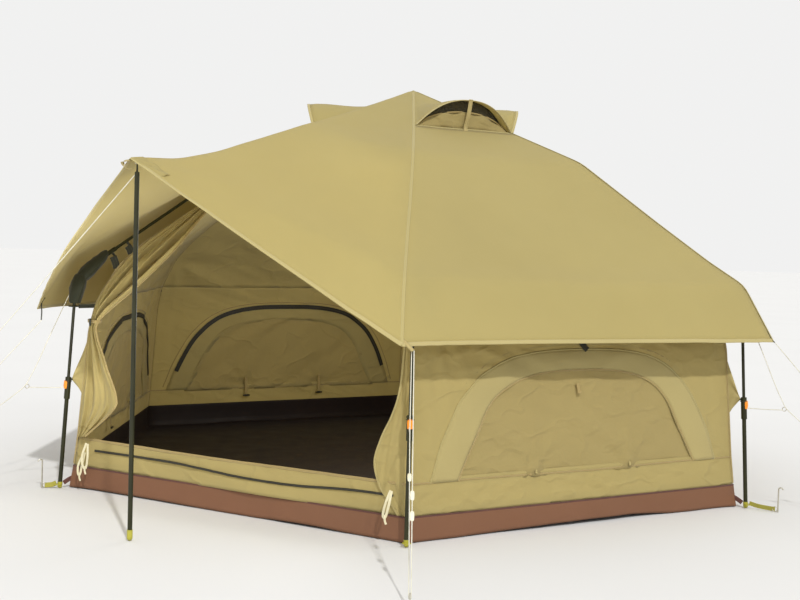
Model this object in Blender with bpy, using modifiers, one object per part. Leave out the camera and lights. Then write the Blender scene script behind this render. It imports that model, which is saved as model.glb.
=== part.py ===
"""Hexagonal quick-pitch tent: a folding umbrella frame of six arms and six telescoping legs, a hung inner tent
with a bathtub floor, and a flysheet whose front panel runs out over a porch pole.

Metres, +Z up. The origin is on the ground under the hub, and the door faces -Y. Each corner of the frame is drawn
in its own upright plane as (distance from the centre, height), and then turned about Z to the corner's bearing.
"""
import bmesh
import bpy
import math
from mathutils import Matrix, Vector

# Corners: bearing in degrees of each leg about Z.
CORNERS = {
    "front_left": -120,
    "front_right": -60,
    "right": 0,
    "back_right": 60,
    "back_left": 120,
    "left": 180,
}
GAP = 0.0003

# Frame pivots in a corner's plane: (radius, height).
HUB_PIVOT = Vector((0.060, 2.030))
MID_PIVOT = Vector((1.005, 1.655))
ELBOW_PIVOT = Vector((1.845, 1.030))
FOOT_CENTRE = Vector((1.930, 0.012))
LEG_TOP = Vector((1.867, 1.030))

# Frame sections.
ARM_RADIUS = 0.0075
SLEEVE_RADIUS = 0.011
SLEEVE_LENGTH = 0.20
MID_OFFSET = 0.014
ELBOW_OFFSET = 0.016
TONGUE = 0.0086
CHEEK = 0.003
PIN_RADIUS = 0.003
BORE_RADIUS = 0.0034
EYE_RADIUS = 0.0105
ROUND = 12

# Hub.
HUB_RADIUS = 0.085
HUB_TOP = 2.037
HUB_UNDERSIDE = 2.015
HUB_CROWN = 2.060
HUB_BOSS = 1.985

# Legs, measured along the leg from the centre of the rounded foot.
FOOT_RADIUS = 0.012
TUBE_RADIUS = 0.0102
TUBE_BORE = 0.0081
TUBE_TOP = 0.530
COLLAR_RADIUS = 0.0145
COLLAR_FOOT = 0.425
BORE_FLOOR = 0.030
LEG_ROD_FOOT = 0.460
BUTTON_HEIGHT = 0.505
BUTTON_SIZE = Vector((0.006, 0.0084, 0.016))
BUTTON_OUTER = 0.0185

# Porch pole.
PORCH_POLE_Y = -2.257
PORCH_POLE_RADIUS = 0.0100
PORCH_POLE_TOP = 1.500
PORCH_SPIKE_TOP = 1.538
PORCH_FOOT_RADIUS = 0.012
PORCH_FOOT_TOP = 0.045

# Fabric.
CLOTH = 0.003
FLY_HIP = [
    (0.0, 2.083),
    (0.283, 1.970),
    (0.566, 1.856),
    (1.005, 1.680),
    (1.430, 1.378),
    (1.700, 1.192),
    (1.875, 1.085),
    (2.030, 0.820),
]
VENT_ROW = 2
VENTED = ("right", "back_left", "left", "front_right")
VENT_COLUMNS = [0.0, 0.05, 0.2, 0.35, 0.5, 0.65, 0.8, 0.95, 1.0]
VENT_RISE = 0.130
VENT_REACH = 0.050
CANOPY_RIDGE = [0.0, 0.14, 0.28, 0.45, 0.62, 0.76, 0.87, 1.0]
CANOPY_CORNER = Vector((0.0, -2.290, 1.545))
CANOPY_SAG = 0.030
INNER_PEAK = 1.955
INNER_HIP = [(1.000, 1.565), (1.530, 1.200), (1.660, 1.080), (1.765, 0.909)]
WALL_CORNER = [(1.862, 0.1135), (1.845, 0.250), (1.800, 0.770), (1.767, 0.902)]
WALL_END = 0.003
TUB_RADIUS = 1.865
TUB_HEIGHT = 0.113
DOOR_JAMB = 0.085

# Guy lines: (radius, height) in a corner's plane.
CORD_RADIUS = 0.002
CORD_SIDES = 2
CORD_POINTS = 20
GUYED = ("front_left", "front_right", "right")
FLY_TIP = Vector((2.033, 0.818))
BRIDLE_TOP = Vector((1.884, 0.975))
BRIDLE_JOIN = Vector((2.100, 0.500))
STAY_HEIGHT = 0.490
PEG_RADIUS = 2.780
PEG_WIRE = 0.0035
PEG_HEIGHT = 0.055
PORCH_PEG = Vector((-1.226, -2.703, 0.0))
FOOT_PEGS = {"front_left": (2.009, -0.030, 0.140), "right": (2.085, 0.0, 0.120)}

COLOURS = {
    "frame_metal": ((0.022, 0.022, 0.008), 0.40, 0.7),
    "hub_plastic": ((0.020, 0.020, 0.018), 0.50, 0.0),
    "button_plastic": ((0.85, 0.22, 0.01), 0.40, 0.0),
    "foot_plastic": ((0.42, 0.42, 0.05), 0.50, 0.0),
    "fly_cloth": ((0.56, 0.45, 0.20), 0.80, 0.0),
    "inner_cloth": ((0.48, 0.37, 0.15), 0.85, 0.0),
    "floor_cloth": ((0.24, 0.12, 0.07), 0.75, 0.0),
    "cord": ((0.85, 0.83, 0.70), 0.70, 0.0),
    "peg_steel": ((0.55, 0.55, 0.52), 0.35, 1.0),
}


def clear_scene():
    for item in list(bpy.data.objects):
        bpy.data.objects.remove(item, do_unlink=True)


def new_collection(name):
    collection = bpy.data.collections.new(name)
    bpy.context.scene.collection.children.link(collection)
    return collection


def material(name):
    found = bpy.data.materials.get(name)
    if found:
        return found
    colour, roughness, metallic = COLOURS[name]
    made = bpy.data.materials.new(name)
    made.use_nodes = True
    shader = made.node_tree.nodes["Principled BSDF"]
    shader.inputs["Base Color"].default_value = (*colour, 1.0)
    shader.inputs["Roughness"].default_value = roughness
    shader.inputs["Metallic"].default_value = metallic
    return made


def finish_mesh(mesh):
    """Weld loose caps and turn every face outwards."""
    shape = bmesh.new()
    shape.from_mesh(mesh)
    bmesh.ops.remove_doubles(shape, verts=shape.verts, dist=0.00001)
    bmesh.ops.recalc_face_normals(shape, faces=shape.faces)
    shape.to_mesh(mesh)
    shape.free()
    return mesh


def bake(source):
    """The evaluated mesh of an object, with its own placing applied. The object is removed."""
    bpy.context.view_layer.update()
    ready = source.evaluated_get(bpy.context.evaluated_depsgraph_get())
    mesh = bpy.data.meshes.new_from_object(ready)
    mesh.transform(source.matrix_world)
    bpy.data.objects.remove(source, do_unlink=True)
    return finish_mesh(mesh)


def workpiece(data):
    """A temporary object in the scene, ready for modifiers."""
    made = bpy.data.objects.new("work", data)
    bpy.context.scene.collection.objects.link(made)
    return made


def combine(base, others, operation="UNION"):
    """Join other meshes to a mesh, or cut them from it."""
    body = workpiece(base)
    tools = [workpiece(other) for other in others]
    for tool in tools:
        step = body.modifiers.new("boolean", "BOOLEAN")
        step.operation = operation
        step.solver = "EXACT"
        step.object = tool
    mesh = bake(body)
    for tool in tools:
        bpy.data.objects.remove(tool, do_unlink=True)
    return mesh


def turned(profile, segments=ROUND):
    """A solid turned about Z from (radius, height) points that start and end on the axis."""
    mesh = bpy.data.meshes.new("profile")
    edges = [(i, i + 1) for i in range(len(profile) - 1)]
    mesh.from_pydata([(radius, 0, height) for radius, height in profile], edges, [])
    body = workpiece(mesh)
    screw = body.modifiers.new("screw", "SCREW")
    screw.steps = segments
    screw.render_steps = segments
    screw.use_merge_vertices = True
    screw.merge_threshold = 0.00001
    return bake(body)


def box(size, centre):
    bpy.ops.mesh.primitive_cube_add(size=1)
    body = bpy.context.object
    body.matrix_world = Matrix.Translation(centre) @ Matrix.Diagonal((*size, 1))
    return bake(body)


def cross_pin(pivot, length):
    """A pin along Y through a pivot of the corner's plane."""
    bpy.ops.mesh.primitive_cylinder_add(vertices=ROUND, radius=PIN_RADIUS, depth=length)
    body = bpy.context.object
    body.matrix_world = Matrix.Translation((pivot.x, 0, pivot.y)) @ Matrix.Rotation(math.pi / 2, 4, "X")
    return bake(body)


def bar(profile, start, end):
    """Turn a profile about the line from one point of the corner's plane to another."""
    mesh = turned(profile)
    along = end - start
    lean = math.atan2(along.x, along.y)
    mesh.transform(Matrix.Translation((start.x, 0, start.y)) @ Matrix.Rotation(lean, 4, "Y"))
    return mesh


def arc(centre, radius, count=ROUND):
    steps = [2 * math.pi * i / count for i in range(count)]
    return [centre + radius * Vector((math.cos(step), math.sin(step))) for step in steps]


def hull(points):
    """The convex outline around points of the plane."""

    def half(ordered):
        kept = []
        for point in ordered:
            while len(kept) > 1 and (kept[-1] - kept[-2]).cross(point - kept[-2]) <= 1e-12:
                kept.pop()
            kept.append(point)
        return kept[:-1]

    ordered = sorted(points, key=lambda point: (round(point.x, 7), point.y))
    return half(ordered) + half(ordered[::-1])


def plate(outline, thickness, offset=0.0, hole=None):
    """A flat plate in the corner's plane, with an optional round hole, centred on Y = offset."""
    curve = bpy.data.curves.new("plate", "CURVE")
    curve.dimensions = "2D"
    curve.fill_mode = "BOTH"
    curve.extrude = thickness / 2
    for ring in [outline] + ([arc(hole, BORE_RADIUS)] if hole else []):
        spline = curve.splines.new("POLY")
        spline.points.add(len(ring) - 1)
        spline.use_cyclic_u = True
        for knot, point in zip(spline.points, ring):
            knot.co = (point.x, point.y, 0, 1)
    body = workpiece(curve)
    body.matrix_world = Matrix.Translation((0, offset, 0)) @ Matrix.Rotation(math.pi / 2, 4, "X")
    return bake(body)


def link_outline(pivot, root, along, reach, half_width):
    """An eye at the pivot, tapered into a root block that lies along the bar it is welded to."""
    across = Vector((-along.y, along.x))
    corners = [root + a * along * reach + b * across * half_width for a in (-1, 1) for b in (-1, 1)]
    return hull(arc(pivot, EYE_RADIUS) + corners)


def tongue(pivot, root, along):
    outline = link_outline(pivot, root, along, 0.016, 0.0060)
    return plate(outline, TONGUE, hole=pivot)


def fork(pivot, root, along):
    """Two cheeks and their pin."""
    outline = link_outline(pivot, root, along, 0.016, 0.0060)
    side = TONGUE / 2 + GAP + CHEEK / 2
    cheeks = [plate(outline, CHEEK, offset=way * side) for way in (-1, 1)]
    return cheeks + [cross_pin(pivot, 2 * side + CHEEK + 0.002)]


def direction(start, end):
    return (end - start).normalized()


def upper_arm_mesh():
    """Along +X from the hub pivot at the origin."""
    length = (MID_PIVOT - HUB_PIVOT).length
    start = Vector((0.036, 0.0))
    end = Vector((length - 0.026, -MID_OFFSET))
    along = direction(start, end)
    whole = (end - start).length
    rod = bar([(0, 0), (ARM_RADIUS, 0), (ARM_RADIUS, whole), (0, whole)], start, end)
    parts = [tongue(Vector((0, 0)), start + 0.010 * along, along)]
    parts += fork(Vector((length, 0)), end - 0.016 * along, along)
    return combine(rod, parts)


def lower_arm_mesh():
    """Along +X from the mid pivot at the origin, with a stouter sleeve at the elbow end."""
    length = (ELBOW_PIVOT - MID_PIVOT).length
    start = Vector((0.030, -MID_OFFSET))
    end = Vector((length - 0.022, ELBOW_OFFSET))
    along = direction(start, end)
    whole = (end - start).length
    profile = [
        (0, 0),
        (ARM_RADIUS, 0),
        (ARM_RADIUS, whole - SLEEVE_LENGTH),
        (SLEEVE_RADIUS, whole - SLEEVE_LENGTH + 0.004),
        (SLEEVE_RADIUS, whole),
        (0, whole),
    ]
    rod = bar(profile, start, end)
    parts = [tongue(Vector((0, 0)), start + 0.012 * along, along)]
    parts += fork(Vector((length, 0)), end - 0.016 * along, along)
    return combine(rod, parts)


def leg_axes():
    """Unit vectors across and up the leg, in the corner's plane."""
    up = direction(FOOT_CENTRE, LEG_TOP)
    return Vector((up.y, -up.x)), up


def in_leg(point):
    """A point of the corner's plane, across and up the leg from its foot."""
    across, up = leg_axes()
    return Vector(((point - FOOT_CENTRE).dot(across), (point - FOOT_CENTRE).dot(up)))


def leg_rod_mesh():
    """Upper leg, drawn about the elbow pivot. It slides inside the leg tube."""
    pivot = in_leg(ELBOW_PIVOT)
    top = pivot.y - 0.020
    profile = [(0, LEG_ROD_FOOT), (ARM_RADIUS, LEG_ROD_FOOT), (ARM_RADIUS, top), (0, top)]
    rod = turned(profile)
    mesh = combine(rod, [tongue(pivot, Vector((0, top - 0.012)), Vector((0, 1)))])
    mesh.transform(Matrix.Translation((-pivot.x, 0, -pivot.y)))
    return mesh


def leg_tube_mesh():
    """Lower leg tube with its collar and rounded foot, drawn up +Z from the foot's centre."""
    dome = [math.radians(angle) for angle in (-20, -45, -70)]
    profile = [
        (0, BORE_FLOOR),
        (TUBE_BORE, BORE_FLOOR),
        (TUBE_BORE, TUBE_TOP),
        (COLLAR_RADIUS - 0.002, TUBE_TOP),
        (COLLAR_RADIUS, TUBE_TOP - 0.002),
        (COLLAR_RADIUS, COLLAR_FOOT),
        (TUBE_RADIUS, COLLAR_FOOT - 0.004),
        (TUBE_RADIUS, 0.022),
        (FOOT_RADIUS, 0.018),
    ]
    profile += [(FOOT_RADIUS * math.cos(angle), FOOT_RADIUS * math.sin(angle)) for angle in dome]
    profile += [(0, -FOOT_RADIUS)]
    tube = turned(profile)
    pocket = BUTTON_SIZE + Vector((0.010, 2 * GAP, 2 * GAP))
    return combine(tube, [box(pocket, (TUBE_BORE - 0.001 + pocket.x / 2, 0, BUTTON_HEIGHT))], "DIFFERENCE")


def button_mesh():
    """A press button with its top edges eased, centred on its own origin."""
    mesh = box(BUTTON_SIZE, (0, 0, 0))
    body = workpiece(mesh)
    bevel = body.modifiers.new("bevel", "BEVEL")
    bevel.width = 0.001
    bevel.segments = 1
    return bake(body)


def hub_mesh():
    """A turned plate with six slots, a pin across each, and a pull boss below."""
    profile = [
        (0, HUB_CROWN),
        (0.030, HUB_CROWN - 0.004),
        (0.050, HUB_TOP),
        (HUB_RADIUS, HUB_TOP),
        (HUB_RADIUS, HUB_UNDERSIDE),
        (0.030, HUB_UNDERSIDE),
        (0.022, HUB_BOSS),
        (0, HUB_BOSS),
    ]
    body = turned(profile, 24)
    body.transform(Matrix.Translation((0, 0, -HUB_PIVOT.y)))
    slots = []
    pins = []
    for bearing in CORNERS.values():
        turn = Matrix.Rotation(math.radians(bearing), 4, "Z")
        slot = box((0.062, TONGUE + 2 * GAP, 0.090), (0.043 + 0.031, 0, 0))
        slot.transform(turn)
        slots.append(slot)
        pin = cross_pin(Vector((HUB_PIVOT.x, 0)), TONGUE + 0.006)
        pin.transform(turn)
        pins.append(pin)
    return combine(combine(body, slots, "DIFFERENCE"), pins)


def smooth_route(knots, count):
    """Points at even steps along a Catmull-Rom curve through the knots."""
    ends = [2 * knots[0] - knots[1]] + list(knots) + [2 * knots[-1] - knots[-2]]
    points = []
    for step in range(count):
        along = step / (count - 1) * (len(knots) - 1)
        leg = min(int(along), len(knots) - 2)
        t = along - leg
        a, b, c, d = ends[leg : leg + 4]
        points.append(
            0.5 * (2 * b + (c - a) * t + (2 * a - 5 * b + 4 * c - d) * t * t + (3 * b - a - 3 * c + d) * t**3)
        )
    return points


def wire(points, radius, sides=CORD_SIDES):
    curve = bpy.data.curves.new("wire", "CURVE")
    curve.dimensions = "3D"
    curve.bevel_depth = radius
    curve.bevel_resolution = sides
    curve.use_fill_caps = True
    spline = curve.splines.new("POLY")
    spline.points.add(len(points) - 1)
    for knot, point in zip(spline.points, points):
        knot.co = (*point, 1)
    return bake(workpiece(curve))


def thicken(vertices, faces, depth=CLOTH):
    """A closed solid from an open surface, with its thickness below or inside the surface."""
    mesh = bpy.data.meshes.new("surface")
    mesh.from_pydata(vertices, [], faces)
    body = workpiece(mesh)
    solid = body.modifiers.new("solidify", "SOLIDIFY")
    solid.thickness = depth
    solid.offset = -1
    solid.use_even_offset = True
    return bake(body)


def around(radius, height, bearing):
    """A point in space from a corner's plane."""
    angle = math.radians(bearing)
    return Vector((radius * math.cos(angle), radius * math.sin(angle), height))


def add_part(name, mesh, colour, placing=None):
    made = bpy.data.objects.new(name, mesh)
    PARTS.objects.link(made)
    if not mesh.materials:
        mesh.materials.append(material(colour))
    mesh.shade_smooth()
    mesh.set_sharp_from_angle(angle=math.radians(35))
    if placing:
        made.matrix_world = placing
    return made


def corner_placing(point, bearing, lean=0.0):
    """At a point of the corner's plane, leaned within it."""
    turn = Matrix.Rotation(math.radians(bearing), 4, "Z")
    return Matrix.Translation(around(point.x, point.y, bearing)) @ turn @ Matrix.Rotation(lean, 4, "Y")


def slope(start, end):
    """The turn about Y that lays +X along a line of the corner's plane."""
    return math.atan2(start.y - end.y, end.x - start.x)


def build_frame():
    add_part("hub", hub_mesh(), "hub_plastic", Matrix.Translation((0, 0, HUB_PIVOT.y)))
    upper, lower = upper_arm_mesh(), lower_arm_mesh()
    rod, tube, button = leg_rod_mesh(), leg_tube_mesh(), button_mesh()
    across, up = leg_axes()
    leg_lean = math.atan2(up.x, up.y)
    button_at = FOOT_CENTRE + BUTTON_HEIGHT * up + (BUTTON_OUTER - BUTTON_SIZE.x / 2) * across
    for corner, bearing in CORNERS.items():
        upper_at = corner_placing(HUB_PIVOT, bearing, slope(HUB_PIVOT, MID_PIVOT))
        add_part(f"upper_arm_{corner}", upper, "frame_metal", upper_at)
        lower_at = corner_placing(MID_PIVOT, bearing, slope(MID_PIVOT, ELBOW_PIVOT))
        add_part(f"lower_arm_{corner}", lower, "frame_metal", lower_at)
        add_part(f"leg_rod_{corner}", rod, "frame_metal", corner_placing(ELBOW_PIVOT, bearing, leg_lean))
        add_part(f"leg_tube_{corner}", tube, "frame_metal", corner_placing(FOOT_CENTRE, bearing, leg_lean))
        add_part(f"leg_button_{corner}", button, "button_plastic", corner_placing(button_at, bearing, leg_lean))


def build_porch_pole():
    """Drawn from the rounded foot's centre, which it tilts about."""
    base = PORCH_FOOT_RADIUS
    pole = turned(
        [
            (0, PORCH_SPIKE_TOP - base),
            (0.003, PORCH_SPIKE_TOP - base - 0.002),
            (0.004, PORCH_POLE_TOP - base),
            (PORCH_POLE_RADIUS, PORCH_POLE_TOP - base - 0.004),
            (PORCH_POLE_RADIUS, PORCH_FOOT_TOP - base + GAP),
            (0, PORCH_FOOT_TOP - base + GAP),
        ]
    )
    dome = [math.radians(angle) for angle in (0, -30, -60)]
    foot = turned(
        [(0, PORCH_FOOT_TOP - base), (PORCH_FOOT_RADIUS, PORCH_FOOT_TOP - base)]
        + [(PORCH_FOOT_RADIUS * math.cos(angle), PORCH_FOOT_RADIUS * math.sin(angle)) for angle in dome]
        + [(0, -PORCH_FOOT_RADIUS)]
    )
    placing = Matrix.Translation((0, PORCH_POLE_Y, base))
    add_part("porch_pole", pole, "frame_metal", placing)
    add_part("porch_pole_foot", foot, "foot_plastic", placing)


def fly_row_point(corner, row, share, lifted):
    """A point of the flysheet between a corner's hip and the next one's."""
    bearing = CORNERS[corner]
    start = around(*FLY_HIP[row], bearing)
    end = around(*FLY_HIP[row], bearing + 60)
    if corner != "front_left":
        point = start.lerp(end, share)
        if lifted:
            swell = 1 - (2 * share - 1) ** 2
            outward = around(1, 0, bearing + 30)
            point += swell * (VENT_REACH * outward + VENT_RISE * Vector((0, 0, 1)))
        return point
    peak = Vector((0, 0, FLY_HIP[0][1]))
    run = CANOPY_RIDGE[row]
    ridge = peak.lerp(CANOPY_CORNER, run) - Vector((0, 0, CANOPY_SAG * 4 * run * (1 - run)))
    if share <= 0.5:
        return start.lerp(ridge, 2 * share)
    return ridge.lerp(end, 2 * share - 1)


def build_fly():
    """Six panels from the peak to the hem. Four are slit below the peak, and the flap above the slit stands up."""
    vertices = []
    faces = []
    known = {}

    def vertex(corner, row, column, lifted=False):
        point = fly_row_point(corner, row, VENT_COLUMNS[column], lifted)
        key = tuple(round(value, 5) for value in point)
        if key not in known:
            known[key] = len(vertices)
            vertices.append(point)
        return known[key]

    last = len(VENT_COLUMNS) - 1
    for corner in CORNERS:
        for row in range(len(FLY_HIP) - 1):
            lifted = corner in VENTED and row + 1 == VENT_ROW
            for column in range(last):
                ends = [lifted and 1 < c < last - 1 for c in (column, column + 1)]
                ring = [
                    vertex(corner, row, column),
                    vertex(corner, row + 1, column, ends[0]),
                    vertex(corner, row + 1, column + 1, ends[1]),
                    vertex(corner, row, column + 1),
                ]
                unique = list(dict.fromkeys(ring))
                if len(unique) > 2:
                    faces.append(unique)
    add_part("flysheet", thicken(vertices, faces), "fly_cloth")


def panel(profile, bearing, columns, skip=(), trim=0.0):
    """An upright panel between two corners, whose edges follow a (radius, height) profile from the bottom up."""
    vertices = []
    for radius, height in profile:
        start = around(radius, height, bearing)
        end = around(radius, height, bearing + 60)
        inset = (end - start).normalized() * trim
        vertices += [(start + inset).lerp(end - inset, share) for share in columns]
    width = len(columns)
    faces = []
    for row in range(len(profile) - 1):
        for column in range(width - 1):
            if (row, column) not in skip:
                first = row * width + column
                faces.append((first, first + 1, first + width + 1, first + width))
    return vertices, faces


def build_inner_tent():
    jamb = DOOR_JAMB / WALL_CORNER[0][0]
    for corner, bearing in CORNERS.items():
        if corner == "front_left":
            opening = ((1, 1), (2, 1))
            vertices, faces = panel(WALL_CORNER, bearing, [0, jamb, 1 - jamb, 1], opening, WALL_END)
        else:
            vertices, faces = panel(WALL_CORNER, bearing, [0, 1], trim=WALL_END)
        add_part(f"inner_wall_{corner}", thicken(vertices, faces), "inner_cloth")
    rows = [[around(radius, height, bearing) for bearing in CORNERS.values()] for radius, height in INNER_HIP]
    vertices = [Vector((0, 0, INNER_PEAK))] + [point for row in rows for point in row]
    faces = [(0, 1 + side, 1 + (side + 1) % 6) for side in range(6)]
    for row in range(len(INNER_HIP) - 1):
        for side in range(1, 6):
            first, second = 1 + 6 * row + side, 1 + 6 * row + (side + 1) % 6
            faces.append((second, first, first + 6, second + 6))
    add_part("inner_roof", thicken(vertices, faces), "inner_cloth")
    floor = [around(TUB_RADIUS, 0, bearing) for bearing in CORNERS.values()]
    rim = [around(TUB_RADIUS - 0.003, TUB_HEIGHT, bearing) for bearing in CORNERS.values()]
    sides = [(side, (side + 1) % 6, 6 + (side + 1) % 6, 6 + side) for side in range(6)]
    add_part("bathtub_floor", thicken(floor + rim, [(5, 4, 3, 2, 1, 0)] + sides), "floor_cloth")


def build_door_flap():
    """The door, drawn aside and tied back: a loft of flat oval sections down the left side of the doorway."""
    stations = [
        (1.480, -0.520, -0.495, 1.000),
        (1.200, -0.690, -0.560, 1.345),
        (0.950, -0.840, -0.700, 1.520),
        (0.820, -0.875, -0.800, 1.600),
        (0.700, -0.880, -0.760, 1.610),
        (0.450, -0.890, -0.680, 1.625),
        (0.280, -0.890, -0.800, 1.640),
    ]
    half_depth = 0.016
    sides = 10
    vertices = []
    for height, left, right, depth in stations:
        for step in range(sides):
            angle = 2 * math.pi * step / sides
            across = (left + right) / 2 + (right - left) / 2 * math.cos(angle)
            vertices.append((across, -depth + half_depth * math.sin(angle), height))
    faces = [tuple(range(sides))]
    for row in range(len(stations) - 1):
        for step in range(sides):
            first, second = row * sides + step, row * sides + (step + 1) % sides
            faces.append((first, second, second + sides, first + sides))
    faces.append(tuple(range((len(stations) - 1) * sides, len(stations) * sides))[::-1])
    mesh = bpy.data.meshes.new("door_flap")
    mesh.from_pydata(vertices, [], faces)
    add_part("door_flap", finish_mesh(mesh), "inner_cloth")


def peg_mesh(height):
    """A wire peg whose shaft stands out of the ground and hooks over at the top."""
    hook = 0.010
    bend = [math.radians(angle) for angle in range(180, -1, -30)]
    shaft = [Vector((0, 0, 0)), Vector((0, 0, height - hook))]
    crook = [Vector((hook + hook * math.cos(angle), 0, height - hook + hook * math.sin(angle))) for angle in bend]
    return wire(shaft + crook[1:], PEG_WIRE)


def build_guy_lines():
    """Each guyed corner has a line from the flysheet's tip, and a bridle from the elbow with a stay to the leg."""
    across, up = leg_axes()
    stay_start = FOOT_CENTRE + STAY_HEIGHT / up.y * up + (COLLAR_RADIUS + 0.001) * across
    peg_ring = Vector((PEG_RADIUS - PEG_WIRE - GAP - 0.001, PEG_HEIGHT - 0.020))
    peg = peg_mesh(PEG_HEIGHT)
    for corner in GUYED:
        bearing = CORNERS[corner]

        def line(name, knots, sag=0.0, side=0.0):
            beside = around(side, 0, bearing + 90)
            route = smooth_route([around(*knot, bearing) + beside for knot in knots], CORD_POINTS)
            for step, point in enumerate(route):
                share = step / (len(route) - 1)
                point.z -= 4 * sag * share * (1 - share)
            add_part(f"{name}_{corner}", wire(route, CORD_RADIUS), "cord")

        line("tip_line", [FLY_TIP, peg_ring], sag=0.006, side=0.004)
        before = BRIDLE_JOIN.lerp(BRIDLE_TOP, 0.12)
        after = BRIDLE_JOIN.lerp(peg_ring, 0.07)
        upper = [BRIDLE_TOP, BRIDLE_TOP.lerp(before, 0.5), before]
        line("bridle", upper + [after, after.lerp(peg_ring, 0.5), peg_ring], side=-0.004)
        stay_end = BRIDLE_JOIN - Vector((0.012, 0.003))
        line("leg_stay", [Vector((stay_start.x, STAY_HEIGHT)), stay_end], sag=0.001, side=-0.004)
        add_part(f"guy_peg_{corner}", peg, "peg_steel", corner_placing(Vector((PEG_RADIUS, 0)), bearing))
    start = Vector((-PORCH_POLE_RADIUS - CORD_RADIUS - GAP, PORCH_POLE_Y, PORCH_POLE_TOP - 0.015))
    away = (PORCH_PEG - Vector((0, PORCH_POLE_Y, 0))).normalized()
    end = PORCH_PEG - away * (PEG_WIRE + CORD_RADIUS) + Vector((0, 0, PEG_HEIGHT - 0.020))
    route = [start.lerp(end, step / (CORD_POINTS - 1)) for step in range(CORD_POINTS)]
    for step, point in enumerate(route):
        share = step / (CORD_POINTS - 1)
        point.z -= 4 * 0.010 * share * (1 - share)
    add_part("porch_line", wire(route, CORD_RADIUS), "cord")
    toward = Matrix.Rotation(math.atan2(away.y, away.x), 4, "Z")
    add_part("porch_peg", peg, "peg_steel", Matrix.Translation(PORCH_PEG) @ toward)
    for corner, (radius, side, height) in FOOT_PEGS.items():
        placing = corner_placing(Vector((radius, 0)), CORNERS[corner]) @ Matrix.Translation((0, side, 0))
        add_part(f"foot_peg_{corner}", peg_mesh(height), "peg_steel", placing)


clear_scene()
PARTS = new_collection("bell_tent")
build_frame()
build_porch_pole()
build_fly()
build_inner_tent()
build_door_flap()
build_guy_lines()
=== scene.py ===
"""Bell tent: an inner tent hung from an umbrella frame, under a flysheet with a porch canopy, pegged out."""

import math

import bmesh
import bpy
from mathutils import Matrix, Vector, noise


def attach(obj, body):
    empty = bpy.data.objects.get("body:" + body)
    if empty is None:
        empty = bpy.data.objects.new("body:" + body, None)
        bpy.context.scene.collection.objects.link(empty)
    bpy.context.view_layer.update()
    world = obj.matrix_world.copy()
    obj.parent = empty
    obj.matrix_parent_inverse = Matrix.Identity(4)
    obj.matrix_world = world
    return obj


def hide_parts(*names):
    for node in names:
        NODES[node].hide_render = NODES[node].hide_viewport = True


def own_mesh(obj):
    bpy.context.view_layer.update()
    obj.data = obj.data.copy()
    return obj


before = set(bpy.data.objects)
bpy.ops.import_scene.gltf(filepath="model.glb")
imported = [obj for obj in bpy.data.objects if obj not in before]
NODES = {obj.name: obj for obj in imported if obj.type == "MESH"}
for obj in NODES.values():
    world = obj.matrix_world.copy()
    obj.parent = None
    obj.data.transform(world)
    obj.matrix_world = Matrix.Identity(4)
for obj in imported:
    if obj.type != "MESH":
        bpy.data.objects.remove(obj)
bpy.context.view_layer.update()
CORNERS = {
    "front_left": -120,
    "front_right": -60,
    "right": 0,
    "back_right": 60,
    "back_left": 120,
    "left": 180,
}
ORDER = list(CORNERS)
CLOTH_BODY = "tent_fabric"
DOOR_SIDE = CORNERS["front_left"]
UP = Vector((0, 0, 1))


def around(radius, height, bearing):
    angle = math.radians(bearing)
    return Vector((radius * math.cos(angle), radius * math.sin(angle), height))


def level_way(bearing):
    """A level unit vector that points to a bearing."""
    return around(1, 0, bearing)


def full_turn(count):
    return [2 * math.pi * k / count for k in range(count)]


def smoothstep(low, high, value):
    share = min(1.0, max(0.0, (value - low) / (high - low)))
    return share * share * (3 - 2 * share)


def between(table, value):
    """Straight-line reading of a table of (at, result) pairs."""
    for (a, first), (b, second) in zip(table, table[1:]):
        if value <= b:
            return first + (second - first) * max(0.0, (value - a) / (b - a))
    return table[-1][1]


def route(knots, count):
    """Points at even steps along a Catmull-Rom curve through the knots."""
    ends = [2 * knots[0] - knots[1]] + list(knots) + [2 * knots[-1] - knots[-2]]
    points = []
    for step in range(count):
        along = step / (count - 1) * (len(knots) - 1)
        leg = min(int(along), len(knots) - 2)
        t = along - leg
        a, b, c, d = ends[leg : leg + 4]
        points.append(
            0.5 * (2 * b + (c - a) * t + (2 * a - 5 * b + 4 * c - d) * t * t + (3 * b - a - 3 * c + d) * t**3)
        )
    return points


def lengths(points):
    """How far along a line each of its points is."""
    reach = [0.0]
    for a, b in zip(points, points[1:]):
        reach.append(reach[-1] + (b - a).length)
    return reach


def even(points, count):
    """The same line with its points at even distances."""
    reach = lengths(points)
    result = []
    leg = 0
    for step in range(count):
        goal = reach[-1] * step / (count - 1)
        while leg < len(points) - 2 and reach[leg + 1] < goal:
            leg += 1
        span = reach[leg + 1] - reach[leg]
        result.append(points[leg].lerp(points[leg + 1], (goal - reach[leg]) / span if span else 0.0))
    return result


def soften(points, times):
    """Ease the corners of a line of evenly spaced points, leaving its ends."""
    for _ in range(times):
        points = (
            [points[0]]
            + [(a + 2 * b + c) / 4 for a, b, c in zip(points, points[1:], points[2:])]
            + [points[-1]]
        )
    return points


# ---------------------------------------------------------------- camera, light and floor

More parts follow.
